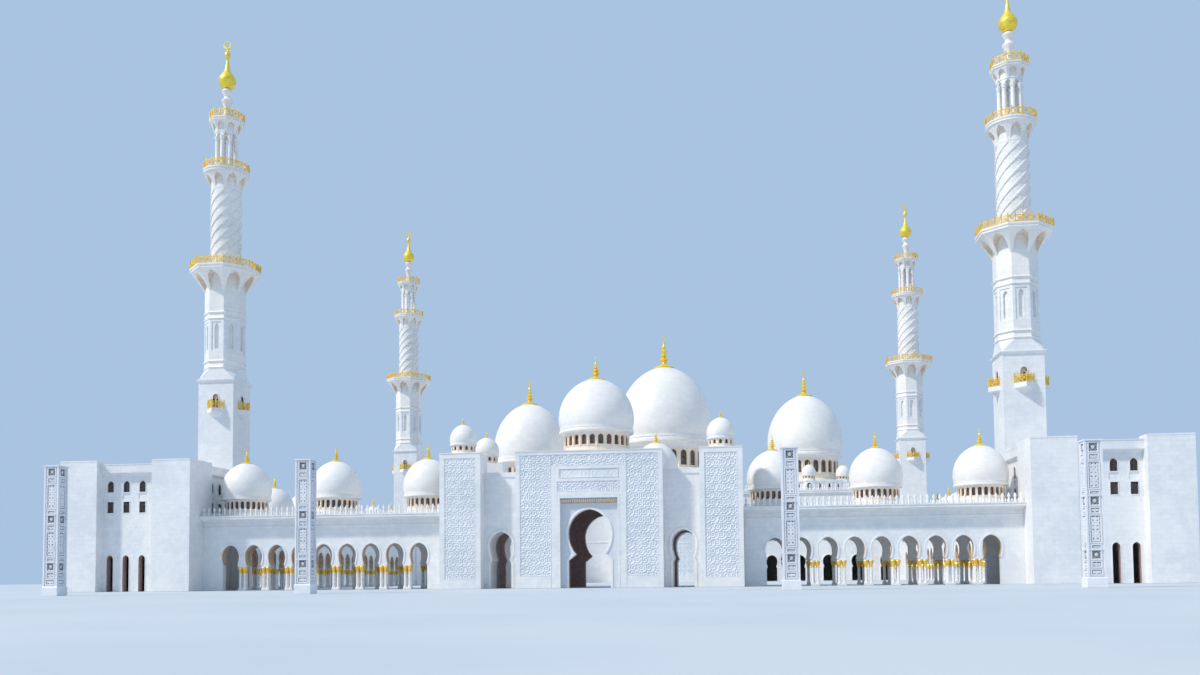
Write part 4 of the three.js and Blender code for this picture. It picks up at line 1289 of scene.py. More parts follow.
@dataclass
class Minaret(Part):
    """A minaret: square foot, octagonal shaft, ribbed round shaft, open lantern and gold tip.

    A balcony's three heights are the foot of its corbel, the corbel's top and the top of its slab.
    """

    half: float = 3.475
    base_top: float = 39.75
    octagon_low: float = 41.8
    low_balcony: Triple = (56.9, 60.5, 61.4)
    low_reach: float = 6.1
    round_radius: float = 2.76
    mid_balcony: Triple = (76.9, 80.0, 80.85)
    mid_reach: float = 4.28
    crown: Triple = (88.3, 90.25, 90.95)
    top_reach: float = 3.08
    stem_top: float = 97.45
    tip: float = 107.0

    def foot(self) -> Shape:
        """The square foot with its doors, stepped brackets and the lip and broaches above."""
        h, top = self.half, self.base_top
        loop, low, high = window_loop(0.55, 34.25, 36.4, 37.0), 34.0, 37.7
        door = window_wall(loop, 0.9, low, high, -h, -h + 0.6, skin=2)
        frame = band_round(loop[::-1], flat_rim(0, 0.16, 0.08), -h, True, 2)
        head = block((-0.6, 0.6), (0.3 - h, 0.6 - h), (36.1, 37.1), 1)
        levels = [(0.02, 32.3), (0.36, 32.6), (0.42, 32.66), (0.72, 32.96), (0.78, 33.02), (1.0, 33.38),
                  (1.0, 34.2)]
        bracket = loft(np.array([[(-1.7 * k, -h + SINK, z), (1.7 * k, -h + SINK, z), (0.0, -h - 1.65 * k, z)]
                                 for k, z in levels]), 2)
        lip = [(-SINK, top - 0.55), (0.0, top - 0.55), (0.12, top - 0.42), (0.3, top - 0.22),
               (0.36, top - 0.14), (0.36, top), (-SINK, top)]
        angle = math.pi / 8 + math.pi / 4 * np.arange(8)
        wide = h / math.cos(math.pi / 8)
        square = np.stack([np.sign(np.cos(angle)) * h, np.sign(np.sin(angle)) * h, np.full(8, top)], 1)
        octagon = np.stack([wide * np.cos(angle), wide * np.sin(angle), np.full(8, self.octagon_low)], 1)
        plinth = [(-SINK, 0.0), (0.16, 0.0), (0.16, 1.3), (0.06, 1.5), (-SINK, 1.5)]
        return Shape.join([
            block((-h, h), (-h, h), (0, low), 2), block((-h, h), (-h, h), (high, top), 2),
            block((0.55 - h, h - 0.55), (0.55 - h, h - 0.55), (low - 0.1, high + 0.1), 3),
            around_rectangle((-h, h), (-h, h), lip, 2), around_rectangle((-h, h), (-h, h), plinth, 2),
            (door + frame + head + bracket + block((0.9, h), (-h, -0.9), (low, high), 2)).around(4, True),
            loft(np.stack([square, octagon]), 2),
        ])

    def octagon(self) -> Shape:
        """The octagonal shaft: ring mouldings, and on each side a tall niche in a shallow frame."""
        h, (low, high), foot = self.half, (44.95, 51.15), self.low_balcony[0]
        rect = rectangle_loop(0.98, 45.3, 50.85)
        face = h * math.tan(math.pi / 8)
        frame = between(rect, to_rectangle(rect, (0.0, 48.1), face, low, high), -h, -h + 0.5, True)
        niche = window_wall(window_loop(0.44, 45.7, 49.7, 50.5), 1.0, 45.25, 50.9, -h + 0.13, -h + 0.6)
        rings = [facets([(0, start), (h, start), *bead(h + 0.03, first, 0.15), (h, first + 0.2),
                         (h, second - 0.22), *bead(h + 0.05, second, 0.18), (h, second + 0.24),
                         (h, end), (0, end)])
                 for start, first, second, end in ((self.octagon_low, 42.12, 43.3, low),
                                                   (high, 51.5, 52.65, foot))]
        core = facets([(0, low), (h - 0.5, low), (h - 0.5, high), (0, high)])
        return Shape.join([*rings, core, (frame + niche).skinned(2).around(8, True)])

    def balconies(self) -> Shape:
        """The corbels with deep niches and the moulded slabs of the three balconies."""
        edge = [(0.2, 0.0), (0.08, 0.12), (0.08, 0.3), (0.2, 0.38), (0.1, 0.56), (0.0, 0.68), (0.0, 1.0)]
        parts = []
        for (foot, under, top), start, reach, power, niche, flat in (
            (self.low_balcony, self.half, self.low_reach, 1.2, (1.15, 58.7, 60.1), True),
            (self.mid_balcony, self.round_radius + 0.04, self.mid_reach, 1.6, (0.84, 78.5, 79.6), False),
            (self.crown, 2.1, self.top_reach, 1.3, (0.6, 89.35, 90.0), True),
        ):
            rim = [(reach - back, under + share * (top - under)) for back, share in edge]
            rim = [(0, under), *rim, (0, top)]
            parts += [flare(foot, under, start, reach - 0.2, power, niche, flat),
                      facets(rim) if flat else lathe(rim, 40)]
        return Shape.join(parts)

    def round_shaft(self) -> Shape:
        """The round shaft with a net of raised ribs, at 45 degrees.

        Eight bold ribs climb to the right and eight faint ones to the left. Rib k starts at the angle
        2 pi (k + 0.5) / 8 and turns by the height climbed over the radius. Its section is a low
        trapezium, whose points are set off square to its run by 0.707 of their offset along the turn
        and along z.
        """
        radius, floor, head = self.round_radius, self.low_balcony[2], self.mid_balcony[0]
        low, high = floor + 0.45, head - 0.1
        shaft = lathe([(0, floor - SINK), (radius + 0.35, floor - SINK), (radius + 0.35, floor + 0.25),
                       *bead(radius + 0.1, floor + 0.4, 0.14), (radius, floor + 0.6), (radius, head + SINK),
                       (0, head + SINK)], 40)
        z = np.linspace(low, high, 30)[:, None]
        section = np.array([-1.0, -0.55, 0.55, 1.0])
        lean = 0.707
        ribs = []
        for hand, wide, stand in ((1, 0.21, 0.17), (-1, 0.14, 0.06)):
            offset = wide * section
            reach = radius + np.array([-0.04, stand, stand, -0.04])
            for start in range(8):
                angle = FULL_TURN * (start + 0.5) / 8 + hand * (z - low) / radius
                turn = angle - hand * offset * lean / radius
                rise = np.broadcast_to(np.clip(z + offset * lean, low - 0.1, high + 0.1), turn.shape)
                line = np.stack([reach * np.cos(turn), reach * np.sin(turn), rise], -1)
                ribs.append(grid(line, wrap_v=True, caps=True))
        return Shape.join([shaft, *ribs])

    def lantern(self) -> Shape:
        """Eight slim columns with small arches between them, and the flared white stem."""
        floor, head, ring = self.mid_balcony[2], self.crown[0], 1.85
        column = lathe([
            (0, floor - SINK), (0.52, floor - SINK), (0.52, floor + 0.35), *bead(0.44, floor + 0.48, 0.08),
            (0.4, floor + 0.65), (0.37, head - 1.6), *bead(0.39, head - 1.5, 0.07), (0.4, head - 1.35),
            (0.52, head - 1.0), (0.52, head - 0.88), (0, head - 0.88)], 12).moved(y=-ring)
        bay = Arch(0.42, head - 1.1, 0.38, head - 0.95, 0.41, head - 0.7, head - 0.2)
        pitch = FULL_TURN * ring / 8
        tile = arch_wall(bay, pitch / 2, head + SINK, -0.2, 0.17, False).skinned(2)
        arches = tile.repeated([[pitch * (i + 0.5), 0, 0] for i in range(8)]).bent(ring)
        foot = self.crown[2] - SINK
        stem = smoothed([
            (0, foot), (0.95, foot), (0.9, 91.4), (0.72, 92.5), (0.62, 93.5), (0.78, 94.2), (1.03, 94.85),
            (1.06, 95.1), (0.82, 95.35), (0.56, 95.75), (0.7, 96.2), (0.98, 96.7), (1.02, 96.95),
            (0.8, 97.2), (0.5, self.stem_top), (0, self.stem_top)])
        return Shape.join([column.around(8), arches, lathe(stem, 28)])

    def rails(self) -> Shape:
        """The gilded rails of all balconies."""
        h = self.half
        ledge = railing(np.array([[-1.58, -h], [0.0, -h - 1.54], [1.58, -h]]), 34.2, 35.5, 3, False)
        return Shape.join([
            ledge.around(4, True),
            *(railing(polygon_plan(reach - 0.14, sides), floor, floor + tall, panels)
              for reach, sides, floor, tall, panels in (
                  (self.low_reach, 8, self.low_balcony[2], 1.25, 4),
                  (self.mid_reach, 16, self.mid_balcony[2], 1.25, 1),
                  (self.top_reach, 8, self.crown[2], 1.35, 2))),
        ])

    def finial(self) -> Shape:
        """The gold teardrop with its long neck, the ball and the crescent that closes to a ring."""
        drop = smoothed([
            (0, 97.47), (0.6, 97.47), (1.05, 97.75), (1.45, 98.3), (1.62, 98.95), (1.5, 99.6),
            (1.1, 100.25), (0.66, 100.9), (0.4, 101.8), (0.24, 102.8), (0.2, 103.4), (0.5, 103.8),
            (0.56, 104.25), (0.45, 104.65), (0.2, 104.95), (0.12, 105.2), (0, 105.5)])
        return lathe(drop, 28) + crescent(0.84, self.tip)

    def build(self, shop: Workshop) -> None:
        """Makes the four minarets."""
        white = Shape.join([self.foot(), self.octagon(), self.balconies(), self.round_shaft(),
                            self.lantern()])
        rails, finial = self.rails(), self.finial()
        for depth, y in (("front", 0.0), ("rear", MINARET_REAR)):
            for side, sign in SIDES:
                tail, x = f"{depth}_{side}", sign * MINARET_X
                shop.make(f"minaret_tower_{tail}", white.moved(x, y), [SHAFT, NICHE_SHADE, WALL, GLASS],
                          [f"minaret_{tail}"])
                shop.make(f"minaret_rails_{tail}", rails.moved(x, y), [RAIL_GOLD], ())
                shop.make(f"minaret_tip_{tail}", finial.moved(x, y), [GOLD], [f"minaret_finial_{tail}"])


def flat_rim(near: float, far: float, stand: float) -> list[Pair]:
    """A flat band's section, from near to far outside the outline and standing out from the wall."""
    return [(near, -SINK), (near, stand), (far, stand), (far, -SINK)]


def window_ring(radius: float, count: int, low: float, sill: float, head: float, high: float, half: float,
                wall: float, skin: int = 0) -> Shape:
    """A round wall of equal windows with slim half columns between them.

    Args:
        radius: Radius of its outer face.
        count: Number of windows.
        low: Foot of the wall.
        sill: Foot of the windows.
        head: Top of the windows.
        high: Top of the wall.
        half: Half width of a window.
        wall: Thickness.
        skin: Finish number; the reveals take the next one.

    Returns:
        One piece of wall, frame and column for each window, bent round the axis.
    """
    pitch = FULL_TURN * radius / count
    tall = head - sill
    loop = window_loop(half, sill, head - half, head, 3)
    tile = window_wall(loop, pitch / 2, low, high, 0.0, wall, skin)
    edge = 0.1 * half
    frame = band_round(loop[::-1], flat_rim(0, 2 * edge, edge), 0.0, True, skin)
    thin = min(0.085 * pitch, 0.3)
    shaft = lathe([(0, low), (1.5 * thin, low), (1.5 * thin, sill), (thin, sill + 0.04 * tall),
                   (thin, head - 0.08 * tall), (1.5 * thin, head), (1.5 * thin, high), (0, high)], 8,
                  skin=skin).moved(x=pitch / 2)
    return (tile + frame + shaft).repeated([[pitch * i, 0, 0] for i in range(count)]).bent(radius)


@dataclass(frozen=True)
class Dome:
    """A bulbous dome on a drum with a ring of windows.

    Attributes:
        radius: Widest radius of the shell.
        widest: Height of the widest ring.
        top: Height of the crown.
        ring: Foot and top of the moulded ring.
        base: Foot of the drum.
        drum: Radius of the drum.
        sill: Foot of the windows.
        head: Top of the windows.
        windows: Number of windows.
        tip: Top of the gold finial.
        cap: Radius of the finial's wide foot.
        wall: Thickness of the drum, and of the shell where it is hollow.
        hollow: Whether the space under it is open.
        moon: Outer radius of the crescent ring at the tip, or 0 for none.
        sides: Number of points round the shell.
    """

    radius: float
    widest: float
    top: float
    ring: Pair
    base: float
    drum: float
    sill: float
    head: float
    windows: int
    tip: float
    cap: float
    wall: float
    hollow: bool = True
    moon: float = 0.0
    sides: int = 72

    def curve(self, inset: float = 0.0, low_steps: int = 6, high_steps: int = 16) -> list[Pair]:
        """The shell's profile from its foot to its crown.

        An ellipse widens from the neck at the ring to the widest level; above it the height follows
        the slightly pointed quarter curve.

        Args:
            inset: How far the profile lies inside the outer face.
            low_steps: Points below the widest level.
            high_steps: Steps above it.

        Returns:
            Points of (radius, z).
        """
        share, z = bulging(NECK, (self.ring[1], self.widest, self.top), low_steps, high_steps)
        z = z - inset * (z > self.widest) * (z - self.widest) / (self.top - self.widest)
        radius = np.maximum(self.radius * share - inset, 0.0)
        radius[-1] = 0.0
        return [(float(r), float(level)) for r, level in zip(radius, z)]

    def shell(self) -> Shape:
        """The shell, its stepped foot, the bold ring and the flare down to the window heads."""
        low, high = self.ring
        rise = high - low
        lip = 0.985 * self.radius
        eave = self.head + 0.16 * rise
        swing = np.linspace(0, math.pi / 2, 6)
        span, climb = lip - 0.1 * rise - self.drum, low - eave
        flare_out = [(self.drum + span * (1 - math.cos(a)), eave + climb * math.sin(a)) for a in swing]
        steps = ((0, 0.06), (0.02, 0.25), (0, 0.48), (-0.12, 0.6), (-0.12, 0.68), (-0.05, 0.74), (-0.05, 0.9))
        outside = [(self.drum, self.head), *flare_out,
                   *((lip + out * rise, low + up * rise) for out, up in steps),
                   (NECK * self.radius + 0.01 * rise, low + 0.93 * rise)]
        outer = outside + self.curve()
        if not self.hollow:
            return lathe([(0.0, self.head), *outer], self.sides)
        under = [(self.drum - self.wall, self.head), (self.drum - self.wall, low)]
        inner = under + self.curve(self.wall, 3, 9)
        return lathe(outer[::-1] + inner, self.sides)

    def drum_wall(self) -> Shape:
        """The drum: a moulded foot and the ring of windows."""
        pitch = FULL_TURN * self.drum / self.windows
        tall = self.head - self.sill
        low = self.sill - 0.12 * tall
        half = min(0.31 * pitch, 0.32 * tall)
        body = window_ring(self.drum, self.windows, low, self.sill, self.head - 0.09 * tall,
                           self.head + 0.002, half, self.wall, skin=1)
        foot = [(self.drum - self.wall, self.base), (self.drum + 0.03 * self.drum, self.base),
                (self.drum + 0.03 * self.drum, self.base + 0.3 * (low - self.base)),
                (self.drum, self.base + 0.45 * (low - self.base)), (self.drum, low - 0.04 * tall),
                (self.drum + 0.012 * self.drum, low), (self.drum - self.wall, low)]
        return body + hoop(foot, self.sides, 1)

    def glass(self) -> Shape:
        """A ring of dark glass in the middle of the drum wall."""
        outer = self.drum - 0.55 * self.wall
        low, high = self.sill - 0.02, self.head
        return hoop([(outer - 0.08, low), (outer, low), (outer, high), (outer - 0.08, high)], self.sides)

    def finial(self) -> Shape:
        """The gold finial: a wide foot on the crown, a stack of beads, a spike and a crescent ring."""
        tall = self.tip - self.top
        sit = self.top - 0.09 * self.cap
        thick = (0.11 if self.moon else 0.14) * tall
        beads = ((0.55, 0.15), (1.35, 0.22), (0.5, 0.29), (1.1, 0.36), (0.4, 0.43), (0.9, 0.5),
                 (0.35, 0.56), (0.65, 0.63), (0.28, 0.7), (0.2, 0.85))
        stack = [(0.0, sit - 0.16 * self.cap), (self.cap, sit - 0.16 * self.cap), (self.cap, sit),
                 (0.62 * self.cap, self.top + 0.02 * tall), (0.3 * self.cap, self.top + 0.08 * tall),
                 *((wide * thick, self.top + level * tall) for wide, level in beads)]
        end = self.tip - 2 * self.moon
        stack += [(0.1 * thick, end - 0.01 * tall), (0.0, end + 0.05 * self.moon)]
        body = lathe(smoothed(stack, 2), 20)
        return body + crescent(self.moon, self.tip) if self.moon else body

    def stone(self) -> Shape:
        """Shell and drum, centred on the axis: skin 0 shell, 1 drum, 2 reveals."""
        return self.shell() + self.drum_wall()


def crescent(outer: float, top: float) -> Shape:
    """A crescent that closes to a ring in the front plane.

    Its thickness is 0.11 of the outer radius at the top and grows with one minus the sine to 0.23.

    Args:
        outer: Outer radius.
        top: Height of its top.

    Returns:
        The closed ring.
    """
    turn, across = angles(24)[:, None], angles(6)[None]
    thick = outer * (0.11 + 0.12 * (1 - np.sin(turn)) / 2)
    ring = outer - thick + thick * np.cos(across)
    surface = np.stack([ring * np.cos(turn), thick * np.sin(across) + 0 * turn,
                        top - outer + ring * np.sin(turn)], -1)
    return grid(surface, wrap_u=True, wrap_v=True)


GATE_DOME = Dome(6.59, 29.2, 36.44, (26.6, 27.4), 21.9, 5.6, 24.3, 26.2, 24, 40.31, 1.55, 0.55)
GALLERY_DOME = Dome(4.41, 18.1, 23.15, (16.2, 16.8), 12.8, 3.76, 14.5, 16.0, 24, 25.75, 0.95, 0.45, False,
                    sides=56)
RANGE_DOME = replace(GALLERY_DOME, sides=32, windows=16)
SMALL_DOME = Dome(2.3, 25.1, 27.75, (24.1, 24.5), 22.69, 1.95, 23.25, 24.0, 12, 29.0, 0.5, 0.3, False,
                  sides=28)
MAIN_DOME = Dome(16.4, 53.2, 74.49, (46.6, 49.0), 37.6, 13.9, 38.9, 44.6, 24, 85.19, 3.4, 1.0, moon=0.9,
                 sides=96)
SIDE_DOME = Dome(12.57, 46.6, 63.04, (41.4, 43.2), 32.5, 10.7, 35.7, 40.2, 24, 70.97, 2.7, 0.9, moon=0.68,
                 sides=84)
DOME_SKINS = [DOME, DRUM, TAN]
SMALL_SKINS = [SMALL_DOME_STONE, DRUM, TAN]


def lifted(dome: Dome, rise: float) -> Dome:
    """The same dome, raised."""
    return replace(dome, widest=dome.widest + rise, top=dome.top + rise,
                   ring=(dome.ring[0] + rise, dome.ring[1] + rise), base=dome.base + rise,
                   sill=dome.sill + rise, head=dome.head + rise, tip=dome.tip + rise)


@dataclass
class DomeSet(Part):
    """Several like domes that share one piece for stone, one for gold and one for glass.

    The places are X and Y of their axes. The skins are those of shell, drum and reveals.
    """

    name: str
    dome: Dome
    places: Profile
    skins: Sequence[Finish] = field(default_factory=lambda: SMALL_SKINS)
    nodes: Sequence[str] = ()
    gold_nodes: Sequence[str] = ()

    def build(self, shop: Workshop) -> None:
        """Makes the three pieces."""
        spots = [(x, y, 0.0) for x, y in self.places]
        shop.make(f"{self.name}_stone", self.dome.stone().repeated(spots), self.skins, self.nodes)
        shop.make(f"{self.name}_gold", self.dome.finial().repeated(spots), [GOLD], self.gold_nodes)
        shop.make(f"{self.name}_glass", self.dome.glass().repeated(spots), [GLASS], ())


def dome_pair(shop: Workshop, name: str, dome: Dome, places: Profile) -> None:
    """Makes like domes at the given places on the right and at the same places on the left."""
    for side, sign in SIDES:
        DomeSet(f"{name}_{side}", dome, [(sign * x, y) for x, y in places]).build(shop)


GALLERY_ARCH = Arch(1.44, 3.95, 1.28, 4.4, 1.565, 6.0, 7.95)
CORNICE = [(-0.4, 11.9), (0.0, 11.9), (0.06, 12.0), (0.45, 12.1), (1.0, 12.25), (1.45, 12.42), (1.6, 12.46),
           (1.6, 12.8), (1.7, 12.88), (1.7, 13.06), (-0.4, 13.06)]
NARROW_CORNICE = [(min(out, 0.19 * out), z) for out, z in CORNICE]
STRING = [(-SINK, 11.0), (0.0, 11.0), (0.09, 11.1), (0.09, 11.22), (0.0, 11.32), (-SINK, 11.32)]


@dataclass(frozen=True)
class Arcade:
    """A wall of equal arched bays along X, on groups of four slim columns with gold capitals.

    The wall's face is y = 0 and looks to -y; its back is at y = wall. The centres are those of its
    arches, and the spring is the foot of the wall above the columns.
    """

    ends: Pair
    centres: Sequence[float]
    arch: Arch = GALLERY_ARCH
    pitch: float = GALLERY_PITCH
    wall: float = 1.2
    high: float = 12.3
    spring: float = 4.4

    def stone(self) -> Shape:
        """Wall above the columns, archivolts, end walls, impost blocks, and the columns' own feet."""
        half, wall = self.pitch / 2, self.wall
        tile = arch_wall(self.arch, half, self.high, 0.0, wall, False)
        rim = [(0.0, -SINK), (0.0, 0.07), (0.1, 0.1), (0.26, 0.1), (0.3, 0.05), (0.3, -SINK)]
        tile = tile + band_round(self.arch.curve(), rim, 0.0)
        bays = tile.repeated([[x, 0, 0] for x in self.centres])
        first, last = min(self.centres) - half, max(self.centres) + half
        jamb = half - self.arch.jamb
        parts = [bays]
        for near, far, pier in ((self.ends[0], first, 1), (last, self.ends[1], -1)):
            edge = (near, far + jamb) if pier > 0 else (near - jamb, far)
            parts.append(block((near, far), (0.0, wall), (self.spring, self.high)))
            parts.append(block(edge, (0.0, wall), (0.0, self.spring)))
        slab = stepped([(jamb - 0.1, 0.06, wall - 0.06, 4.02), (jamb, -0.04, wall + 0.04, 4.12),
                        (jamb, -0.04, wall + 0.04, 4.3), (jamb - 0.05, 0.0, wall, self.spring)])
        foot = stepped([(wide, 0.5 * wall - deep, 0.5 * wall + deep, z) for wide, deep, z in (
            (jamb, 0.62, 0.0), (jamb, 0.62, 0.3), (jamb - 0.06, 0.56, 0.36))])
        parts.append((slab + foot).repeated([[x, 0, 0] for x in self.piers()]))
        return Shape.join(parts)

    def piers(self) -> list[float]:
        """X of the middle of each free pier between two arches."""
        ordered = sorted(self.centres)
        return [(a + b) / 2 for a, b in zip(ordered[:-1], ordered[1:])]

    def spots(self) -> list[Triple]:
        """Axes of all slim columns, four to a pier."""
        side = self.pitch / 2 - self.arch.jamb - 0.3
        deep = (0.26, self.wall - 0.26)
        return [(x + dx, y, 0.0) for x in self.piers() for dx in (-side, side) for y in deep]

    def columns(self, sides: int = 10) -> Shape:
        """The slim shafts with their round feet.

        Args:
            sides: Number of points round a shaft.

        Returns:
            All shafts of the arcade.
        """
        shaft = lathe([(0, 0.3), (0.3, 0.3), (0.3, 0.44), (0.235, 0.56), (0.21, 0.7), (0.2, 3.1), (0, 3.1)],
                      sides)
        return shaft.repeated(self.spots())

    def capitals(self, sides: int = 10) -> Shape:
        """Gold capitals like crowns of leaves: a ring, leaves that swing out, and a thin top plate.

        Args:
            sides: Number of points round a capital.

        Returns:
            All capitals of the arcade.
        """
        radius = np.array([0.0, 0.25, 0.26, 0.19, 0.24, 0.33, 0.29, 0.36, 0.42, 0.36, 0.0])
        z = np.array([2.98, 2.98, 3.08, 3.12, 3.3, 3.52, 3.56, 3.76, 3.94, 4.06, 4.06])
        leaf = lathe(list(zip(radius, z)), sides)
        return leaf.repeated(self.spots())


@dataclass(frozen=True)
class Crest:
    """A row of marble leaves with small buds between them along the top of a wall."""

    foot: float = 13.02
    tall: float = 1.6
    pitch: float = LEAF_PITCH

    def leaf(self) -> Shape:
        """One leaf: six-sided levels that swell, narrow to a waist, swell again and run to a point."""
        levels = [(0.2, 0.13, 0.0), (0.27, 0.17, 0.16), (0.22, 0.15, 0.34), (0.1, 0.09, 0.46),
                  (0.22, 0.13, 0.6), (0.24, 0.13, 0.72), (0.14, 0.09, 0.88), (0.02, 0.02, 1.0)]
        loops = [[(-w, 0, z), (-0.35 * w, -d, z), (0.35 * w, -d, z), (w, 0, z), (0.35 * w, d, z),
                  (-0.35 * w, d, z)] for w, d, z in levels]
        return loft(np.array(loops) * self.size())

    def size(self) -> Array:
        """Factors from a leaf of height 1 in the front galleries to this crest."""
        return np.array([self.pitch / LEAF_PITCH, self.pitch / LEAF_PITCH, self.tall])

    def bud(self) -> Shape:
        """One small bud between two leaves."""
        levels = [(0.09, 0.0), (0.06, 0.12), (0.15, 0.26), (0.01, 0.44)]
        loops = [[(-w, 0, z), (0, -w, z), (w, 0, z), (0, w, z)] for w, z in levels]
        return loft(np.array(loops) * self.size())

    def row(self, start: float, end: float) -> Shape:
        """Leaves and buds along X, evenly spread.

        Args:
            start: X of the row's left end.
            end: X of its right end.

        Returns:
            The row, its middle plane at y = 0.
        """
        count = max(1, round((end - start) / self.pitch))
        step = (end - start) / count
        middles = [[start + step * (i + 0.5), 0, self.foot] for i in range(count)]
        joints = [[start + step * i, 0, self.foot] for i in range(1, count)]
        return self.leaf().repeated(middles) + self.bud().repeated(joints)


CREST = Crest()
LEAF_IN = -0.75


def dressed(arcades: Sequence[Arcade], cornice: Profile = CORNICE, leaf_y: float = LEAF_IN) -> Shape:
    """Arcades in one line with their cornice, string course and leaves.

    Args:
        arcades: The arcades.
        cornice: Section of the cornice.
        leaf_y: Y of the leaves; the wall's face is y = 0.

    Returns:
        The walls, skin 0 marble and 1 reveals.
    """
    return Shape.join(
        Shape.join([arcade.stone(), run_along_x(arcade.ends, 0.0, cornice),
                    run_along_x(arcade.ends, 0.0, STRING), CREST.row(*arcade.ends).moved(y=leaf_y)])
        for arcade in arcades)


def arcade_pieces(shop: Workshop, names: Sequence[str], node: str, shapes: Sequence[Shape]) -> None:
    """Makes the stone, the columns and the capitals of a line of arcades on both sides.

    Args:
        shop: The workshop.
        names: Names of the three pieces without the side.
        node: The CAD node that the stone stands for, without the side.
        shapes: Stone, columns and capitals of the right side.
    """
    for name, shape, skins, nodes, slot in zip(
            names, shapes, ([WALL, TAN], [COLUMN], [RAIL_GOLD]), ([node], (), ()),
            (Slot.WHITE, Slot.WHITE, Slot.GOLD)):
        shop.pair(name, shape, skins, nodes)


@dataclass
class FrontGallery(Part):
    """The arcaded galleries on both sides of the gate, with three domes each."""

    ends: Pair = (25.13, 69.595)
    front: float = -14.2
    back: float = -2.9
    first: float = 30.24
    domes: tuple[float, ...] = (30.24, 47.35, 64.33)
    domes_y: float = -8.55

    def build(self, shop: Workshop) -> None:
        """Makes both galleries."""
        arcade = Arcade(self.ends, [self.first + GALLERY_PITCH * i for i in range(9)])
        shapes = dressed([arcade]), arcade.columns(), arcade.capitals()
        for place, faces in (("front", [shape.moved(y=self.front) for shape in shapes]),
                             ("court", [shape.mirrored(1).moved(y=self.back) for shape in shapes])):
            names = [f"gallery_{place}_{part}" for part in ("arcade", "columns", "capitals")]
            arcade_pieces(shop, names, f"front_gallery_{place}_arcade", faces)
        roof = block(self.ends, (self.front + 0.3, self.back - 0.3), ROOF_SLAB)
        shop.pair("gallery_roof", roof, [SMOOTH], ["front_gallery_roof"])
        dome_pair(shop, "gallery_domes", GALLERY_DOME, [(x, self.domes_y) for x in self.domes])


class LongSide(Enum):
    """The long sides of a side range, as they stand in the names of its pieces and nodes."""

    OUTER = "outer_arcade"
    COURT = "court_arcade"


@dataclass
class SideRange(Part):
    """The long ranges on both sides of the court, with seven domes each."""

    inner: float = 69.9
    outer: float = 93.55
    front: float = 3.52
    back: float = 139.98
    pitch: float = 4.15
    first: float = 6.325
    notch: Pair = (110.85, 117.83)
    jog: float = 76.57
    domes_x: float = 81.9
    first_dome: float = 25.0

    def build(self, shop: Workshop) -> None:
        """Makes both ranges: the outer wall, the court wall on both sides of the minaret, and the roof."""
        places = [self.first + self.pitch * i for i in range(33)]
        reach = self.pitch / 2
        near = [y for y in places if y + reach < self.notch[0]]
        far = [y for y in places if y - reach > self.notch[1] and y + reach < self.back]
        whole = [y for y in places if y + reach < self.back]
        outer = [Arcade((self.front, self.back), whole, pitch=self.pitch)]
        court = [Arcade((self.front, self.notch[0]), near, pitch=self.pitch),
                 Arcade((self.notch[1], self.back), far, pitch=self.pitch)]
        for side, arcades, stone in (
            (LongSide.OUTER, outer, dressed(outer, NARROW_CORNICE, 0.1)),
            (LongSide.COURT, court, dressed(court) + self.recess()),
        ):
            shapes = (stone, Shape.join(arcade.columns(6) for arcade in arcades),
                      Shape.join(arcade.capitals(6) for arcade in arcades))
            names = [f"range_{side.value}{tail}" for tail in ("", "_columns", "_capitals")]
            arcade_pieces(shop, names, f"side_range_{side.value}",
                          [self.turned(shape, side) for shape in shapes])
        roof = Shape.join([
            block((self.jog + 0.2, self.outer - 0.3), (self.front, self.back), ROOF_SLAB),
            block((self.inner + 0.3, self.jog + 0.2), (self.front, self.notch[0] - 0.2), ROOF_SLAB),
            block((self.inner + 0.3, self.jog + 0.2), (self.notch[1] + 0.2, self.back), ROOF_SLAB),
        ])
        shop.pair("range_roof", roof, [SMOOTH], ["side_range_roof"])
        dome_pair(shop, "range_domes", RANGE_DOME,
                  [(self.domes_x, self.first_dome + 4 * self.pitch * i) for i in range(7)])

    def recess(self) -> Shape:
        """Plain walls round the rear minaret, in the arcade's own frame (x is the building's Y)."""
        deep = self.jog - self.inner
        low, high = self.notch
        far, walls, slabs = deep + 1.2, (0, 12.3), (12.25, 13.06)
        return Shape.join(block(x, y, z) for x, y, z in (
            ((low - 1.2, low), (1.15, far), walls), ((high, high + 1.2), (1.15, far), walls),
            ((low - 0.05, high + 0.05), (deep, far), walls),
            ((low - 0.4, high + 0.4), (deep, deep + 0.4), slabs), ((low - 0.4, low), (0.4, deep), slabs),
            ((high, high + 0.4), (0.4, deep), slabs)))

    def turned(self, shape: Shape, side: LongSide) -> Shape:
        """Turns a wall along X onto one of the range's long sides, so that its x becomes Y.

        Args:
            shape: The wall with its face at y = 0.
            side: The side.

        Returns:
            The wall in place on the right.
        """
        if side is LongSide.COURT:
            return shape.mirrored(1).turned(math.pi / 2).moved(x=self.inner)
        return shape.turned(math.pi / 2).moved(x=self.outer)


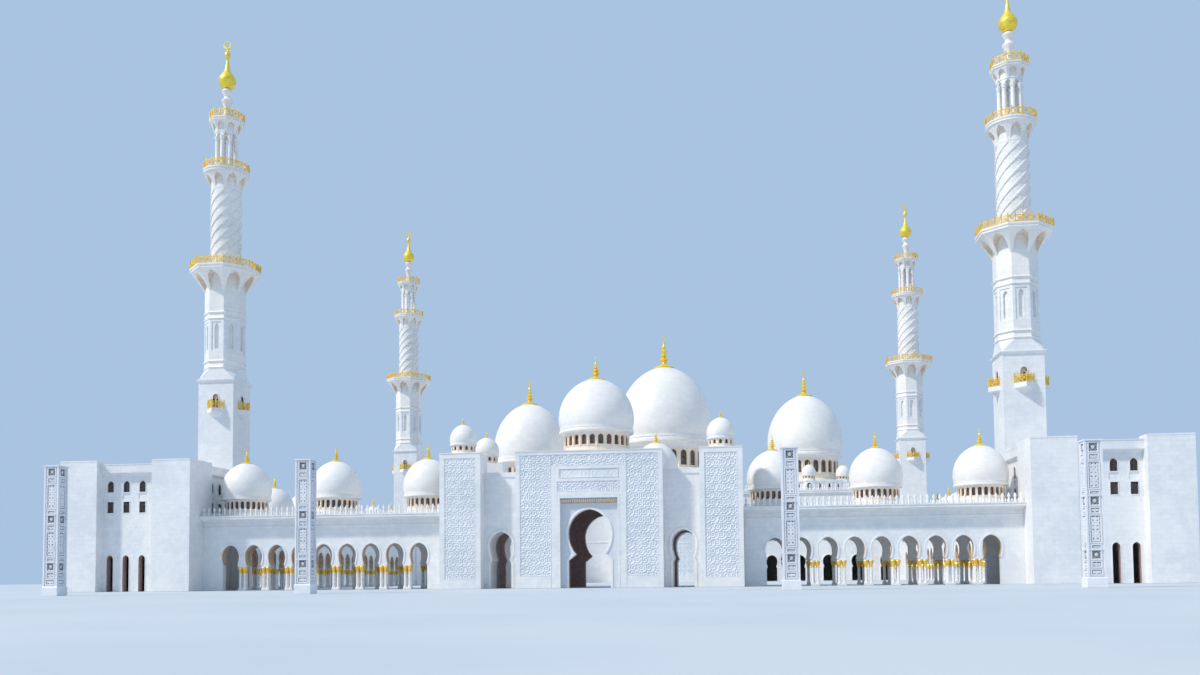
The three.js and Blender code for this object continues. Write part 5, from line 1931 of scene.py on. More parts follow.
def vines() -> Pattern:
    """Leaf scrolls: in each cell a spiral stem, its hand alternating, and a leaf crown between four cells.

    A stem is where reach / pitch - angle / full turn is near a half; a leaf crown's edge swings with
    four times the angle round the corner of the cells.

    Returns:
        Height of the carving from 0 to 1 for arrays of x and z, as all patterns give it.
    """
    cell = 1.3

    def pattern(x: Array, z: Array) -> Array:
        """Height of the carving for arrays of x and z."""
        row = np.floor(z / cell)
        across = x / cell - 0.5 * (row % 2)
        column = np.floor(across)
        a, b = (across - column - 0.5) * cell, (z / cell - row - 0.5) * cell
        hand = 1 - 2 * ((row + column) % 2)
        reach, angle = np.hypot(a, b), np.arctan2(b, a * hand)
        swirl = 1 - 2 * np.abs((reach / (0.27 * cell) - angle / FULL_TURN) % 1 - 0.5)
        stem = np.clip(1.7 * swirl - 0.25, 0, 1) * (reach < 0.5 * cell)
        side, up = cell / 2 - np.abs(a), cell / 2 - np.abs(b)
        crown = np.hypot(side, up) / (0.34 * cell) * (1.2 + 0.5 * np.cos(4 * np.arctan2(up, side)))
        return np.maximum(stem, np.clip(1.9 - 1.9 * crown, 0, 1))
    return pattern


def straps(cell: float, wide: float = 0.13) -> Pattern:
    """A star lattice: straps along four directions, each line a cell apart from the next.

    Args:
        cell: Distance of two lines.
        wide: Half width of a strap, as a share of the cell.

    Returns:
        The pattern.
    """
    def pattern(x: Array, z: Array) -> Array:
        """Height of the carving for arrays of x and z."""
        nearest = np.full(x.shape, 1.0)
        for turn in (0, 1, 2, 3):
            c, s = math.cos(turn * math.pi / 4), math.sin(turn * math.pi / 4)
            away = np.abs(((x * c + z * s) / cell) % 1 - 0.5)
            nearest = np.minimum(nearest, 0.5 - away)
        return np.clip((wide - nearest) / (0.5 * wide), 0, 1)
    return pattern


def rosette(x0: float, z0: float, radius: float) -> Pattern:
    """An eight-leaved rosette in a ring, with a leaf in each corner round it.

    Args:
        x0: X of its middle.
        z0: Z of its middle.
        radius: Outer radius of the ring, a little more.

    Returns:
        The pattern.
    """
    def pattern(x: Array, z: Array) -> Array:
        """Height of the carving for arrays of x and z."""
        reach = np.hypot(x - x0, z - z0) / radius
        angle = np.arctan2(z - z0, x - x0)
        leaf = 0.46 + 0.26 * np.cos(8 * angle)
        petals = np.clip(6 * (leaf - reach), 0, 1) * np.clip(7 * (np.abs(np.cos(4 * angle)) - 0.45), 0, 1)
        ring = np.clip(1.2 - 16 * np.abs(reach - 0.9), 0, 1)
        corner = np.clip(6 * (reach - 1.2 - 0.08 * np.cos(8 * angle)), 0, 1)
        return np.maximum(np.maximum(petals, ring), np.maximum(corner, np.clip(1.6 - 9 * reach, 0, 1)))
    return pattern


def sunk(motif: Pattern, across: Pair, up: Pair, edge: float) -> Pattern:
    """A motif with a deep groove along the four edges of its field.

    Args:
        motif: The pattern inside.
        across: Left and right edge of the field.
        up: Its lower and upper edge.
        edge: Width of the groove.

    Returns:
        The pattern.
    """
    def pattern(x: Array, z: Array) -> Array:
        """Height of the carving for arrays of x and z."""
        inside = np.minimum(np.minimum(x - across[0], across[1] - x), np.minimum(z - up[0], up[1] - z))
        return np.where(inside > edge, motif(x, z), 0.0)
    return pattern


PORTAL_ARCH = Arch(3.45, 4.5, 2.2, 5.5, 3.5, 8.9, 12.92)
WING_ARCH = Arch(1.75, 4.1, 1.45, 4.8, 1.94, 7.2, 9.5)
DOOR_ARCH = Arch(1.6, 3.9, 1.3, 4.4, 1.7, 6.0, 7.95)
ARCH_FRAME = [(0.0, -SINK), (0.0, 0.1), (0.1, 0.14), (0.34, 0.14), (0.44, 0.06), (0.44, -SINK)]
CARVED_SKINS = [RELIEF, WALL, TILES, BROWN_AND_SHADE, TAN]


@dataclass(frozen=True)
class Portal:
    """The carved portal wall of the gate or of the porch, facing -y with its face at y = 0.

    The half is that of its width, the step is a cell of the carving, and the hole is the recess's
    half width and height.
    """

    top: float = GATE_TOP
    half: float = 12.18
    step: float = 0.11
    hole: Pair = (4.75, 14.77)
    deep: float = 0.9
    thick: float = 2.0

    def shape(self) -> Shape:
        """The wall: skin 0 carving, 1 marble, 2 tiles, 3 brown reveal and painted shade on the inner face, 4
        tan frieze that paints the shadow under the recess's head.
        """
        half, (hole, head), ground, rise = self.half, self.hole, 0.1, self.top - GATE_TOP
        top, panel, inner = self.top - 0.16, 17.5 + rise, 11.45
        parts = [
            *(block(x, (ground, self.thick), z, 1) for x, z in (
                ((-half, -hole), (0, top)), ((hole, half), (0, top)), ((-hole, hole), (head, top)))),
            block((-half, half), (-0.07, self.thick), (top, self.top), 1),
            arch_wall(PORTAL_ARCH, hole, head, self.deep, self.thick, skin=2),
            band_round(PORTAL_ARCH.passage(), ARCH_FRAME, self.deep, skin=1),
            band_round(np.array([[-hole, 0], [-hole, head], [hole, head], [hole, 0]]),
                       [(0, -SINK), (0, 0.12), (0.36, 0.12), (0.42, 0.06), (0.42, -SINK)], ground, skin=1),
            # The tan block behind the row of small posts paints the shadow line under the recess's head.
            block((-hole, hole), (self.deep - 0.14, self.deep + SINK), (head - 0.85, head - 0.2), 4),
            block((-0.09, 0.09), (self.deep - 0.2, self.deep), (head - 0.62, head - 0.2), 1).repeated(
                [[-hole + 0.22 + 0.36 * i, 0, 0] for i in range(26)]),
        ]
        bands = [((-inner, inner), (self.top - 0.7, top)), ((-6.2, 6.2), (panel, panel + 0.6)),
                 ((-6.2, 6.2), (panel + 2.2, panel + 2.6)), ((-5.17, 5.17), (head + 0.42, 15.85))]
        for x, z in (((inner, half), (0, top)), ((6.25, inner), (0, 1.95)), ((5.17, 6.2), (0, panel)),
                     ((4.95, 6.2), (panel + 0.6, panel + 2.2))):
            bands += [(x, z), ((-x[1], -x[0]), z)]
        parts += [block(x, (0.0, ground), z, 1) for x, z in bands]
        frame = rectangle_loop(4.9, panel + 0.62, panel + 2.18)[[0, 3, 2, 1]]
        section = [(-0.1, -0.1), (-0.1, 0.07), (0.0, 0.07), (0.05, -0.1)]
        parts.append(band_round(frame, section, 0.004, True, 1))
        high = self.top - 0.75
        for x, z in (((-11.4, -6.3), (2.0, high)), ((6.3, 11.4), (2.0, high)),
                     ((-6.15, 6.15), (panel + 2.65, high)), ((-5.12, 5.12), (15.9, panel - 0.05))):
            parts.append(carved(x, z, 0.0, 0.3, self.step, vines(), 0.17))
        parts.append(carved((-4.85, 4.85), (panel + 0.66, panel + 2.14), 0.04, 0.3, 1.1 * self.step,
                            straps(0.62, 0.1), 0.05).skinned(1))
        # The inner face at y = thick takes skin 3 as painted shade.
        return Shape.join(parts).plane_skinned(self.thick, 3)


@dataclass
class Gate(Part):
    """The entrance gate with its arched wings and domed towers, and the porch of the prayer hall."""

    front: float = -19.4
    back: float = 2.3
    wing: Pair = (12.19, 18.12)
    wing_y: Pair = (-16.6, -0.5)
    wing_wall: float = 4.6
    wing_top: float = 19.5
    arch_x: float = 15.3
    tower: Pair = (18.124, 25.12)
    tower_deep: float = 5.0
    tower_top: float = 22.69
    porch_front: float = 120.0
    porch_top: float = 28.87

    def wing_face(self) -> Shape:
        """One arched wall of a wing, its face at y = 0."""
        near, far = self.wing
        half, top = far - self.arch_x, self.wing_top
        wall = arch_wall(WING_ARCH, half, top, 0.0, self.wing_wall, skin=1)
        wall.skins[wall.skins == 2] = 1
        frame = band_round(WING_ARCH.passage(), ARCH_FRAME, 0.0, skin=1)
        thin = band_round(WING_ARCH.passage(), flat_rim(0.56, 0.64, 0.06), 0.0, skin=1)
        band = [(-SINK, top - 0.95), (0.0, top - 0.95), (0.1, top - 0.85), (0.14, top - 0.8), (0.14, top),
                (-SINK, top)]
        return Shape.join([
            (wall + frame + thin).moved(x=self.arch_x),
            block((near, self.arch_x - half), (0.0, self.wing_wall), (0.0, top), 1),
            run_along_x(self.wing, 0.0, band, 1),
        ])

    def tower_face(self, step: float) -> Shape:
        """The carved face of a gate tower and its solid body, the face at y = 0.

        Args:
            step: Width of a cell of the carving.

        Returns:
            The tower's front half: skin 0 carving, 1 marble.
        """
        (near, far), top, border = self.tower, self.tower_top - 0.16, 0.87
        inner = (near + border, far - border)
        bands = [((near, inner[0]), (0, top)), ((inner[1], far), (0, top)), (inner, (top - 0.8, top)),
                 (inner, (0, 1.6))]
        return Shape.join([
            block((near, far), (0.1, self.tower_deep), (0, top), 1),
            *(block(x, (0.0, 0.1), z, 1) for x, z in bands),
            block((near, far), (-0.07, self.tower_deep), (top, self.tower_top), 1),
            carved((inner[0] + 0.05, inner[1] - 0.05), (1.65, top - 0.85), 0.0, 0.3, step, vines(), 0.17),
        ])

    def build(self, shop: Workshop) -> None:
        """Makes the gate, its wings and towers, and the porch."""
        shop.make("gate_portal", Portal().shape().moved(y=self.front), CARVED_SKINS, ["gate_front_wall"])
        rear = Portal(step=0.2).shape().mirrored(1).moved(y=self.back)
        shop.make("gate_rear_portal", rear, CARVED_SKINS, ["gate_rear_wall"])
        faces = self.wing_face()
        (near, far), (low, high) = self.wing, self.wing_y
        inner = low + self.wing_wall, high - self.wing_wall
        wing = Shape.join([faces.moved(y=low), faces.mirrored(1).moved(y=high),
                           block((near, far), inner, (18.4, 18.9), 1)])
        # The wing walls' inner faces take skin 3 as painted shade.
        for y in inner:
            wing = wing.plane_skinned(y, 3)
        deep = self.tower_deep
        link = block(self.tower, (self.front + deep, self.back - deep), (12.0, 12.8), 1)
        towers = Shape.join([self.tower_face(0.11).moved(y=self.front),
                             self.tower_face(0.2).mirrored(1).moved(y=self.back), link])
        middle = sum(self.tower) / 2
        inset = deep / 2
        for name, shape in (("gate_wing", wing), ("gate_tower", towers)):
            shop.pair(f"{name}s", shape, CARVED_SKINS, [name])
        dome_pair(shop, "gate_tower_domes", SMALL_DOME,
                  [(middle, self.front + inset), (middle, self.back - inset)])
        self.porch(shop)

    def porch(self, shop: Workshop) -> None:
        """Makes the porch: a taller portal, side walls and a roof with a hole under the dome.

        Args:
            shop: Where shapes are turned into pieces.
        """
        front, back, top = self.porch_front, 139.99, self.porch_top
        hole, reach = 4.95, 12.1
        ring = polygon_plan(hole, 24)
        edge = to_rectangle(ring, (0.0, 0.0), reach, -10.0, 9.9)
        slab = [at(line + [0.0, PORCH_DOME_Y], z)
                for line, z in ((ring, 27.43), (edge, 27.43), (edge, 28.13), (ring, 28.13))]
        roof = grid(np.stack(slab, 1), wrap_u=True, wrap_v=True, skin=1)
        sides = [block(x, (front + 1.9, back), (0, top), 1) for x in ((-12.18, -10.38), (10.38, 12.18))]
        face = Portal(top=top, step=0.2).shape().moved(y=front)
        shop.make("porch", Shape.join([face, *sides, roof]), CARVED_SKINS, ["foyer_porch"])


def doorway(half: float, spring: float, top: float) -> Array:
    """A door's open outline from its left foot over the pointed head to its right foot."""
    head = window_loop(half, 0.0, spring, top)[2:][::-1]
    return np.concatenate([[[-half, 0.0]], head, [[half, 0.0]]])


def opened(loop: Array, half: float, high: float, back: float) -> Shape:
    """A piece of wall down to the ground with one door, its face at y = 0.

    Args:
        loop: The door's open outline.
        half: Half of the wall's width.
        high: Its top.
        back: Y of its back.

    Returns:
        The wall: skin 0 marble, 1 the reveal.
    """
    foot = float(loop[1, 1])
    outer = to_rectangle(loop, (0.0, foot), half, 0.0, high)
    outer[[0, -1]] = [[-half, 0.0], [half, 0.0]]
    outer[[1, -2]] = [[-half, foot], [half, foot]]
    wall = between(loop, outer, 0.0, back, False)
    wall.skins[3:-2:4] = 1
    return wall


def rectangle_loop(half: float, low: float, high: float) -> Array:
    """A rectangular window's outline."""
    return np.array([[-half, low], [half, low], [half, high], [-half, high]])


@dataclass
class CornerBlock(Part):
    """A corner block: two plain towers, a recessed wall with doors and windows, side and back walls.

    The columns are the middles of the strips of windows, and the strip is half the width of one. The
    notch is the corner that is left out for the side range, and the shoulder ends the blank side wall.
    """

    inner: float = 69.605
    outer: float = 93.88
    tower_edges: Pair = (76.66, 86.89)
    front: float = -19.02
    recess: float = -17.0
    wall: float = 1.2
    back: float = 3.5
    notch: Pair = (76.558, -3.478)
    top: float = 22.98
    recess_top: float = 22.4
    columns: tuple[float, ...] = (79.5, 82.5, 85.5)
    side_columns: tuple[float, ...] = (7.2, 10.2)
    shoulder: float = -11.2
    half: float = 0.58
    strip: float = 0.75

    def openings(self, deep: float, foot: float) -> Shape:
        """A strip of wall with a square and an arched window, its face at y = 0.

        Args:
            deep: Thickness of the wall.
            foot: Foot of the strip; with 0 it has a door too.

        Returns:
            The strip: skin 0 marble, 1 reveals, 2 glass, 3 window bars.
        """
        wide, half, door = self.strip, self.half, not foot
        square, arched = rectangle_loop(half, 13.85, 15.8), window_loop(half, 17.5, 18.8, 19.5)
        outline = doorway(0.6, 5.7, 6.4)
        rim = flat_rim(0, 0.13, 0.06)
        parts = [
            block((-wide, wide), (0, deep), (6.8 if door else foot, 13.7)),
            window_wall(square, wide, 13.7, 16.2, 0.0, deep).skinned(0),
            block((-wide, wide), (0.1, deep), (16.2, 17.2)),
            window_wall(arched, wide, 17.2, 19.9, 0.0, deep).skinned(0),
            block((-wide, wide), (0, deep), (19.9, self.recess_top)),
            band_round(square[::-1], rim, 0.0, True), band_round(arched[::-1], rim, 0.0, True),
        ]
        if door:
            parts += [opened(outline, wide, 6.8, deep), band_round(outline, rim, 0.0)]
        for low, high, bar in ((13.8, 15.85, 15.3), (17.45, 19.55, 18.75)):
            parts += [block((-half - 0.05, half + 0.05), (0.24, 0.3), (low, high), 2),
                      block((-0.04, 0.04), (0.15, 0.24), (low, high), 3),
                      block((-half, half), (0.13, 0.24), (bar - 0.06, bar + 0.06), 3),
                      *(block((edge, edge + 0.09), (0.14, 0.24), (low, high), 3)
                        for edge in (-half, half - 0.09))]
        return Shape.join(parts)

    def strips(self, span: Pair, columns: Sequence[float], inset: float = 0.0) -> Shape:
        """A wall with a strip of openings at each column, and its hood.

        Args:
            span: The wall's two ends along X.
            columns: Middles of the strips.
            inset: How far the wall stands back above the gallery's roof; 0 for the front, which has doors.

        Returns:
            The wall with its lower face at y = 0.
        """
        edges = [span[0], *(x + side * self.strip for x in columns for side in (-1, 1)), span[1]]
        foot, deep, reach = (13.1, self.wall - inset, inset) if inset else (0.0, self.wall, 0.92)
        hood = [(-SINK, 20.4), (0.0, 20.4), (0.1, 20.5), (0.6, 20.75), (0.92, 20.85), (0.92, 22.2),
                (1.0, 22.25), (1.0, self.recess_top), (-SINK, self.recess_top)]
        upper = [*(block(x, (0.0, deep), (foot, self.recess_top)) for x in zip(edges[::2], edges[1::2])),
                 self.openings(deep, foot).repeated([[x, 0, 0] for x in columns]),
                 run_along_x(span, 0.0, [(out * reach, z) for out, z in hood])]
        lower = [block(span, (0.0, self.wall), (0, foot))] if inset else []
        return Shape.join([Shape.join(upper).moved(y=inset), *lower])

    def shape(self) -> Shape:
        """The whole right block: skin 0 marble, 1 reveals, 2 glass, 3 window bars."""
        wall, body = self.wall, self.recess + self.wall
        (notch_x, notch_y), rear, parts = self.notch, self.back, []
        for x in ((self.inner, self.tower_edges[0]), (self.tower_edges[1], self.outer)):
            cap = [(-SINK, self.top - 0.3), (0.0, self.top - 0.3), (0.05, self.top - 0.22), (0.05, self.top),
                   (-SINK, self.top)]
            parts += [block(x, (self.front, body), (0, self.top)), run_along_x(x, self.front, cap),
                      block(x, (self.front - 0.08, self.front), (0, 0.9))]
        parts.append(self.strips(self.tower_edges, self.columns).moved(y=self.recess))
        side = self.strips((-notch_y, -self.shoulder), self.side_columns, 0.6)
        parts.append(side.turned(-math.pi / 2).moved(x=self.inner))
        parts.append(block((self.inner, self.inner + wall), (body, self.shoulder), (0, self.top)))
        outer, inner, plain = self.outer - wall, self.inner + wall, (0, self.recess_top)
        turned, across = notch_x + wall, notch_y - wall
        parts += [block(x, y, plain) for x, y in (
            ((outer, self.outer), (body, rear)), ((notch_x, outer), (rear - wall, rear)),
            ((notch_x, turned), (notch_y, rear - wall)), ((inner, turned), (across, notch_y)))]
        for low in (12.3, 20.9):
            parts += [block((inner, outer), (body, across), (low, low + 0.6)),
                      block((turned, outer), (across, rear - wall), (low, low + 0.6))]
        return Shape.join(parts)

    def build(self, shop: Workshop) -> None:
        """Makes both corner blocks."""
        shop.pair("corner_block", self.shape(), [WALL, BROWN_AND_SHADE, DARK_GLASS, BRONZE],
                  ["corner_front_wall", "corner_block"])


class Panel(Enum):
    """The carved panels of a light tower."""

    ROSETTE = "a leaf rosette in a ring"
    BAND = "a narrow band of straps"
    LATTICE = "a tall star lattice"


@dataclass
class LightTower(Part):
    """A free-standing square tower with framed carved panels on its four faces."""

    half: float = 1.005
    top: float = 17.06
    y: float = -61.9
    places: tuple[tuple[str, float], ...] = (("inner", 30.37), ("outer", 64.78))

    def face(self) -> Shape:
        """The frames and carved panels of one face: rosettes, narrow bands and tall lattices."""
        h, bed = self.half, 0.16 - self.half
        repeat = 6.2
        rows = [(high - repeat * i, low - repeat * i, kind) for i in range(3) for high, low, kind in (
            (16.7, 15.65, Panel.ROSETTE), (15.4, 14.75, Panel.BAND), (14.5, 11.35, Panel.LATTICE),
            (11.1, 10.7, Panel.BAND))]
        parts = []
        for high, low, kind in rows:
            low = max(low, 1.45)
            if high < 2:
                continue
            wide = 0.6 if kind is Panel.LATTICE else 0.52
            motif = {Panel.ROSETTE: rosette(0.0, (high + low) / 2, 0.46), Panel.BAND: straps(0.34, 0.2),
                     Panel.LATTICE: straps(0.36, 0.25)}[kind]
            motif = sunk(motif, (-wide, wide), (low, high), 0.13)
            parts.append(carved((0.04 - wide, wide - 0.04), (low + 0.04, high - 0.04), bed - 0.05, bed + 0.12,
                                0.055, motif, 0.05))
            rim = rectangle_loop(wide, low, high)[[0, 3, 2, 1]]
            section = [(-0.04, -0.02), (-0.04, 0.12), (0.07, 0.12), (0.07, -0.02)]
            parts.append(band_round(rim, section, bed, True, 1))
        parts += [block((0.2 - h, h - 0.2), (-h, bed), (low, low + 0.1), 1) for low in (10.5, 4.3)]
        return Shape.join([*parts, block((h - 0.2, h), (-h, 0.2 - h), (1.2, self.top - 0.2), 1)])

    def build(self, shop: Workshop) -> None:
        """Makes the four towers."""
        h = self.half
        core = block((0.16 - h, h - 0.16), (0.16 - h, h - 0.16), (0, self.top - 0.1), 1)
        wide = h + 0.08
        plinth, cap = (stepped([(w, -w, w, z) for w, z in rings], 1) for rings in (
            ((wide, 0), (wide, 1.1), (h, 1.22), (h - 0.2, 1.22)),
            ((h, self.top - 0.2), (wide, self.top - 0.12), (wide, self.top))))
        tower = Shape.join([core, plinth, cap, self.face().around(4, True)])
        for side, sign in SIDES:
            for place, x in self.places:
                shop.make(f"light_{place}_{side}", tower.moved(sign * x, self.y),
                          [TOWER_RELIEF, TOWER_STONE], [f"light_tower_{place}_{side}"])


@dataclass
class PrayerHall(Part):
    """The prayer hall: walls with doors and tall windows, cornice, leaves, tiers and small domes.

    Front and rear are the faces of its walls; the cornice stands out behind the rear. The pitch is the
    distance of two windows, and the first stands beside the porch.
    """

    half: float = 76.0
    front: float = 140.0
    rear: float = 204.35
    top: float = 28.0
    wall: float = 1.6
    middle: float = HALL_DOME_Y
    pitch: float = 8.6
    first: float = 26.1
    side_x: float = SIDE_DOME_X

    def bay(self, door: bool, window: bool) -> Shape:
        """A bay of wall with its face at y = 0.

        Args:
            door: Whether it has a door.
            window: Whether it has a tall window above.

        Returns:
            The bay: skin 0 marble, 1 reveals, 2 glass.
        """
        half, sill, high = self.pitch / 2, 12.4, self.top - 0.1
        parts = [arch_wall(DOOR_ARCH, half, sill, 0.0, self.wall),
                 band_round(DOOR_ARCH.passage(), ARCH_FRAME, 0.0)
                 ] if door else [block((-half, half), (0, self.wall), (0, sill))]
        if not window:
            return Shape.join([*parts, block((-half, half), (0, self.wall), (sill, high))])
        loop = window_loop(1.1, 14.0, 19.5, 21.2)
        rim = [(0, -SINK), (0, 0.14), (0.12, 0.2), (0.34, 0.2), (0.34, -SINK)]
        return Shape.join([
            *parts, window_wall(loop, half, sill, high, 0.0, self.wall),
            band_round(loop[::-1], rim, 0.0, True),
            block((-1.15, 1.15), (0.7, 0.8), (13.9, 21.3), 2), block((-0.06, 0.06), (0.6, 0.7), (14, 21.2)),
            *(block((-1.1, 1.1), (0.61, 0.7), (z, z + 0.12)) for z in (15.8, 17.6, 19.4)),
        ])

    def row(self, span: Pair, bays: dict[float, tuple[bool, bool]]) -> Shape:
        """A wall along X from bays and plain pieces between them.

        Args:
            span: The wall's two ends.
            bays: Whether each bay has a door and a window, by the X of its middle.

        Returns:
            The wall with its face at y = 0.
        """
        edges = [span[0], *(x + side * self.pitch / 2 for x in sorted(bays) for side in (-1, 1)), span[1]]
        plain = [block(x, (0, self.wall), (0, self.top - 0.1)) for x in zip(edges[::2], edges[1::2])
                 if x[1] - x[0] > SINK]
        return Shape.join([*plain, *(self.bay(*kind).moved(x) for x, kind in bays.items())])

    def walls(self) -> dict[str, Shape]:
        """The four walls in place."""
        columns = [side * (self.first + self.pitch * i) for i in range(6) for side in (-1, 1)]
        long_row = (-self.half, self.half)
        front = self.row(long_row, {0.0: (True, False), **{x: (True, True) for x in columns}})
        back = self.row(long_row, {x: (False, True) for x in columns}).mirrored(1).moved(y=self.rear)
        ends = (self.front + self.wall, self.rear - self.wall)
        side = self.row(ends, {self.front + 11 + self.pitch * i: (False, True) for i in range(6)})
        right = side.turned(math.pi / 2).moved(x=self.half)
        return {"hall_front_wall": front.moved(y=self.front), "hall_back_wall": back,
                "hall_side_wall_right": right, "hall_side_wall_left": right.mirrored()}

    def trim(self) -> Shape:
        """Cornice and string round the hall, and the leaves on top."""
        top, across, along = self.top, (-self.half, self.half), (self.front, self.rear)
        cornice = [(-0.4, top - 1.3), (0.0, top - 1.3), (0.1, top - 1.2), (0.35, top - 1.0), (0.5, top - 0.9),
                   (0.5, top - 0.45), (0.6, top - 0.35), (0.6, top), (-0.4, top)]
        string = [(-SINK, 12.4), (0.0, 12.4), (0.14, 12.55), (0.14, 12.8), (0.0, 12.95), (-SINK, 12.95)]
        crest = Crest(top - SINK, 2.0, 1.3)
        row, side = crest.row(*across), crest.row(*along).turned(math.pi / 2).moved(x=self.half - 0.1)
        return Shape.join([around_rectangle(across, along, cornice), around_rectangle(across, along, string),
                           row.moved(y=self.front + 0.1), row.moved(y=self.rear - 0.1),
                           side, side.mirrored()])

    def tiers(self) -> Shape:
        """The hall's roof slab, and a tier with windows under each of the three domes."""
        side = Shape.join([
            window_ring(17.3, 32, 27.05, 29.2, 31.3, 31.6, 0.4, 0.8),
            hoop([(10.0, 31.6), (17.4, 31.6), (17.5, 31.8), (17.8, 32.0), (17.8, 32.3), (17.6, 32.5),
                  (10.0, 32.5)], 96),
            self.turret().moved(y=-16.0).around(8, True),
        ])
        main = Shape.join([
            window_ring(18.2, 32, 27.05, 31.0, 34.6, 36.1, 0.7, 0.8),
            hoop([(13.0, 36.1), (18.3, 36.1), (18.4, 36.4), (18.75, 36.8), (18.75, 37.3), (18.5, 37.62),
                  (13.0, 37.62)], 96),
        ])
        slab = [block(x, y, (26.2, 27.1)) for x, y in self.slab_pieces()]
        return Shape.join([main.moved(y=self.middle), side.moved(self.side_x, self.middle),
                           side.moved(-self.side_x, self.middle), *slab])

    def slab_pieces(self) -> list[tuple[Pair, Pair]]:
        """The flat roof as strips that leave a square open under each dome."""
        edge, front, back = self.half - self.wall, self.front + self.wall, self.rear - self.wall
        open_half = {0.0: 12.8, self.side_x: 9.7, -self.side_x: 9.7}
        centres = sorted(open_half)
        xs = [-edge, *(x for c in centres for x in (c - open_half[c], c + open_half[c])), edge]
        strips = [((a, b), (front, back)) for a, b in zip(xs[::2], xs[1::2])]
        for c in centres:
            reach = open_half[c]
            strips.append(((c - reach, c + reach), (front, self.middle - reach)))
            strips.append(((c - reach, c + reach), (self.middle + reach, back)))
        return strips

    @staticmethod
    def turret() -> Shape:
        """An eight-sided turret with a window in its outer side, which carries a small dome."""
        loop = window_loop(0.7, 29.1, 30.9, 31.5)
        pane = block((-0.75, 0.75), (-2.34, -2.28), (29.0, 31.6), 2)
        frame = between(loop, to_rectangle(loop, (0.0, 30.3), 0.92, 28.9, 31.7), -2.5, -2.28, True)
        frame.skins[3::4] = 1
        cap = loft(np.stack([at(polygon_plan(reach, 8), z) for reach, z in (
            (2.3, 31.6), (2.4, 31.85), (2.52, 31.95), (2.52, 32.5))]))
        return Shape.join([upright(polygon_plan(2.3, 8), 27.05, 31.65), frame, pane, cap])

    def build(self, shop: Workshop) -> None:
        """Makes the dressing, the roof and the rings of small domes."""
        for node, shape in self.walls().items():
            shop.make(f"{node}_stone", shape, [WALL, TAN, GLASS], [node])
        shop.make("hall_trim", self.trim(), [WALL])
        shop.make("hall_roof_tiers", self.tiers(), [WALL, TAN, GLASS], ["hall_roof"])
        small = lifted(SMALL_DOME, SIDE_DOME.base - SMALL_DOME.base)
        ring = [(16.0 * math.sin(a), 16.0 * math.cos(a)) for a in angles(8)]
        for side, sign in SIDES:
            DomeSet(f"tier_domes_{side}", small,
                    [(sign * self.side_x + u, self.middle + v) for u, v in ring]).build(shop)


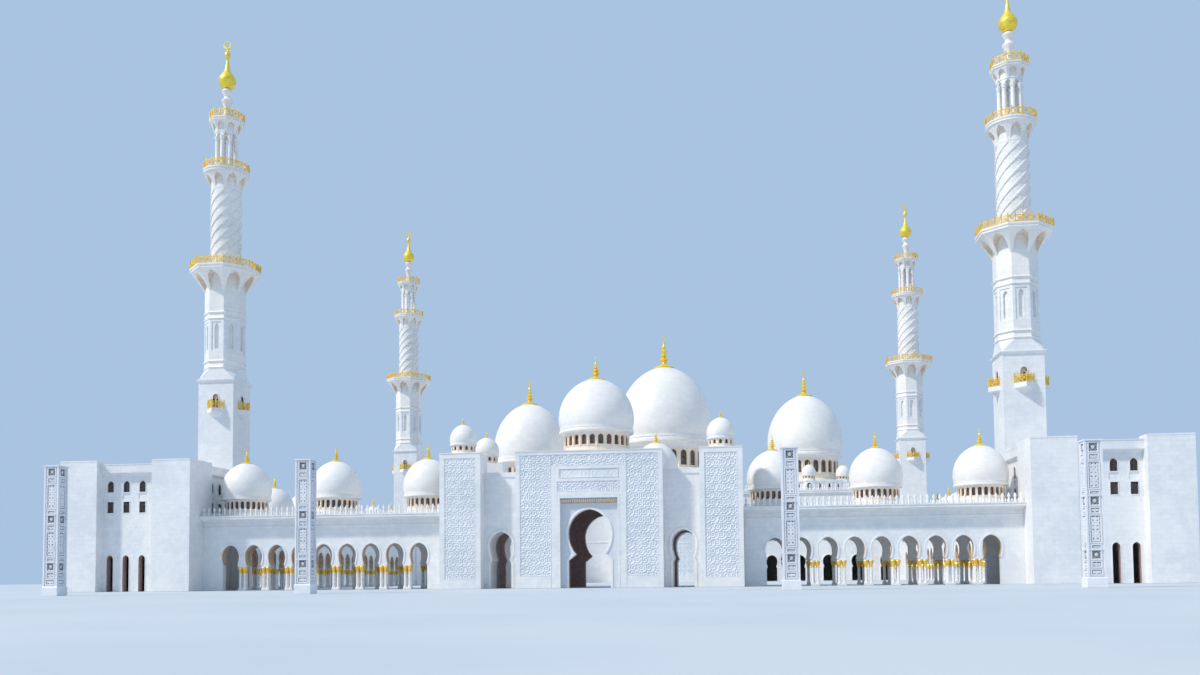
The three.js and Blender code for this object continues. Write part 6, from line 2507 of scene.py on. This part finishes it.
@dataclass
class Studio:
    """Floor, light and camera.

    The focal length is in pixels of the photograph and the eye in building metres. The yaw turns to
    the left of the building's axis, the shift is a share of the frame's width, and the sun is the
    direction in which its light travels.
    """

    site: Site
    focal: float = 1051.65
    eye: Triple = (23.927, -189.562, 1.763)
    yaw: float = 0.1289
    pitch: float = 0.0508
    roll: float = -0.0097
    shift: float = 0.155
    sun: Triple = (0.594, 0.339, -0.73)
    sun_energy: float = 3.0
    sun_spread: float = 4.0
    sun_colour: Colour = (1.0, 0.95, 0.87)
    fill_colour: Colour = (0.53, 0.73, 1.0)
    fill_strength: float = 0.75
    floor_radius: float = 90.0
    floor_drop: float = 0.002

    def build(self, finishes: Finishes) -> None:
        """Makes the floor, the sun, the light from all round and the camera.

        Args:
            finishes: The shared materials.
        """
        self.floor(finishes)
        self.light()
        self.camera()

    def floor(self, finishes: Finishes) -> None:
        """A wide pale disc just below the building.

        Args:
            finishes: The shared materials.
        """
        rings, turn = np.array([0.02, 0.25, 1.0])[:, None] * self.floor_radius, angles(96)
        surface = np.stack([rings * np.cos(turn), rings * np.sin(turn),
                            np.full((3, 96), -self.floor_drop)], -1)
        shape = grid(surface, wrap_v=True)
        mesh = bpy.data.meshes.new("studio_floor")
        quads, centre = shape.corners.reshape(-1, 4).tolist(), tuple(range(96))
        mesh.from_pydata(shape.points.tolist(), [], [*quads, centre])
        mesh.materials.append(finishes.get(StudioFloor("pale_floor")))
        floor = bpy.data.objects.new("studio_floor", mesh)
        bpy.context.scene.collection.objects.link(floor)
        Workshop.face_out(mesh)

    def light(self) -> None:
        """A soft warm sun from the upper left, and even pale blue light from all round."""
        lamp = bpy.data.lights.new("soft_sun", "SUN")
        lamp.energy = self.sun_energy
        lamp.angle = math.radians(self.sun_spread)
        lamp.color = self.sun_colour
        sun = bpy.data.objects.new("soft_sun", lamp)
        sun.rotation_euler = Vector(self.sun).to_track_quat("-Z", "Y").to_euler()
        bpy.context.scene.collection.objects.link(sun)
        world = bpy.data.worlds.new("pale_studio")
        world.use_nodes = True
        backdrop = world.node_tree.nodes["Background"]
        backdrop.inputs["Color"].default_value = (*self.fill_colour, 1.0)
        backdrop.inputs["Strength"].default_value = self.fill_strength
        bpy.context.scene.world = world
        bpy.context.scene.view_settings.view_transform = "Standard"

    def camera(self) -> None:
        """The photograph's camera, low in front of the building and a little to the right."""
        data = bpy.data.cameras.new("photo_camera")
        data.sensor_width = 36.0
        data.lens = self.focal * data.sensor_width / PHOTO_WIDTH
        data.shift_y = self.shift
        data.clip_start, data.clip_end = 0.05, 400.0
        camera = bpy.data.objects.new("photo_camera", data)
        camera.location = Vector(self.site.place(np.array(self.eye)))
        level = Euler((math.pi / 2 + self.pitch, 0.0, self.yaw), "XYZ").to_quaternion()
        camera.rotation_mode = "QUATERNION"
        camera.rotation_quaternion = level @ Euler((0.0, 0.0, self.roll)).to_quaternion()
        bpy.context.scene.collection.objects.link(camera)
        bpy.context.scene.camera = camera


DRESSED = {"gate_": WALL, "corner_window_glass": DARK_GLASS}


def main() -> None:
    """Builds every sub-assembly in order and reports it."""
    logging.basicConfig(level=logging.INFO, format="%(name)s %(message)s")
    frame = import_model()
    site = Site.from_frame()
    shop = Workshop(site, Finishes(site.metre))
    Studio(site).build(shop.finishes)
    domes = [
        DomeSet("gate_dome", GATE_DOME, [(0.0, GATE_DOME_Y)], DOME_SKINS, ["gate_dome"], ["gate_finial"]),
        DomeSet("foyer_dome", lifted(GATE_DOME, PORCH_RISE), [(0.0, PORCH_DOME_Y)], DOME_SKINS,
                ["foyer_dome"], ["foyer_finial"]),
        DomeSet("main_dome", MAIN_DOME, [(0.0, HALL_DOME_Y)], DOME_SKINS, ["main_dome"],
                ["main_dome_finial"]),
        *(DomeSet(f"side_dome_{side}", SIDE_DOME, [(sign * SIDE_DOME_X, HALL_DOME_Y)], DOME_SKINS,
                  [f"side_dome_{side}"], [f"side_dome_finial_{side}"]) for side, sign in SIDES),
    ]
    for part in (Minaret(), FrontGallery(), SideRange(), Gate(), CornerBlock(), LightTower(), PrayerHall(),
                 *domes):
        part.build(shop)
    for prefix, finish in DRESSED.items():
        for name, node in frame["nodes"].items():
            if name.startswith(prefix) and not node.hide_render:
                for slot in node.material_slots:
                    slot.material = shop.finishes.get(finish)
    LOG.info("added %d triangles", shop.triangles)
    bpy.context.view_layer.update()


if __name__ == "__main__":
    main()
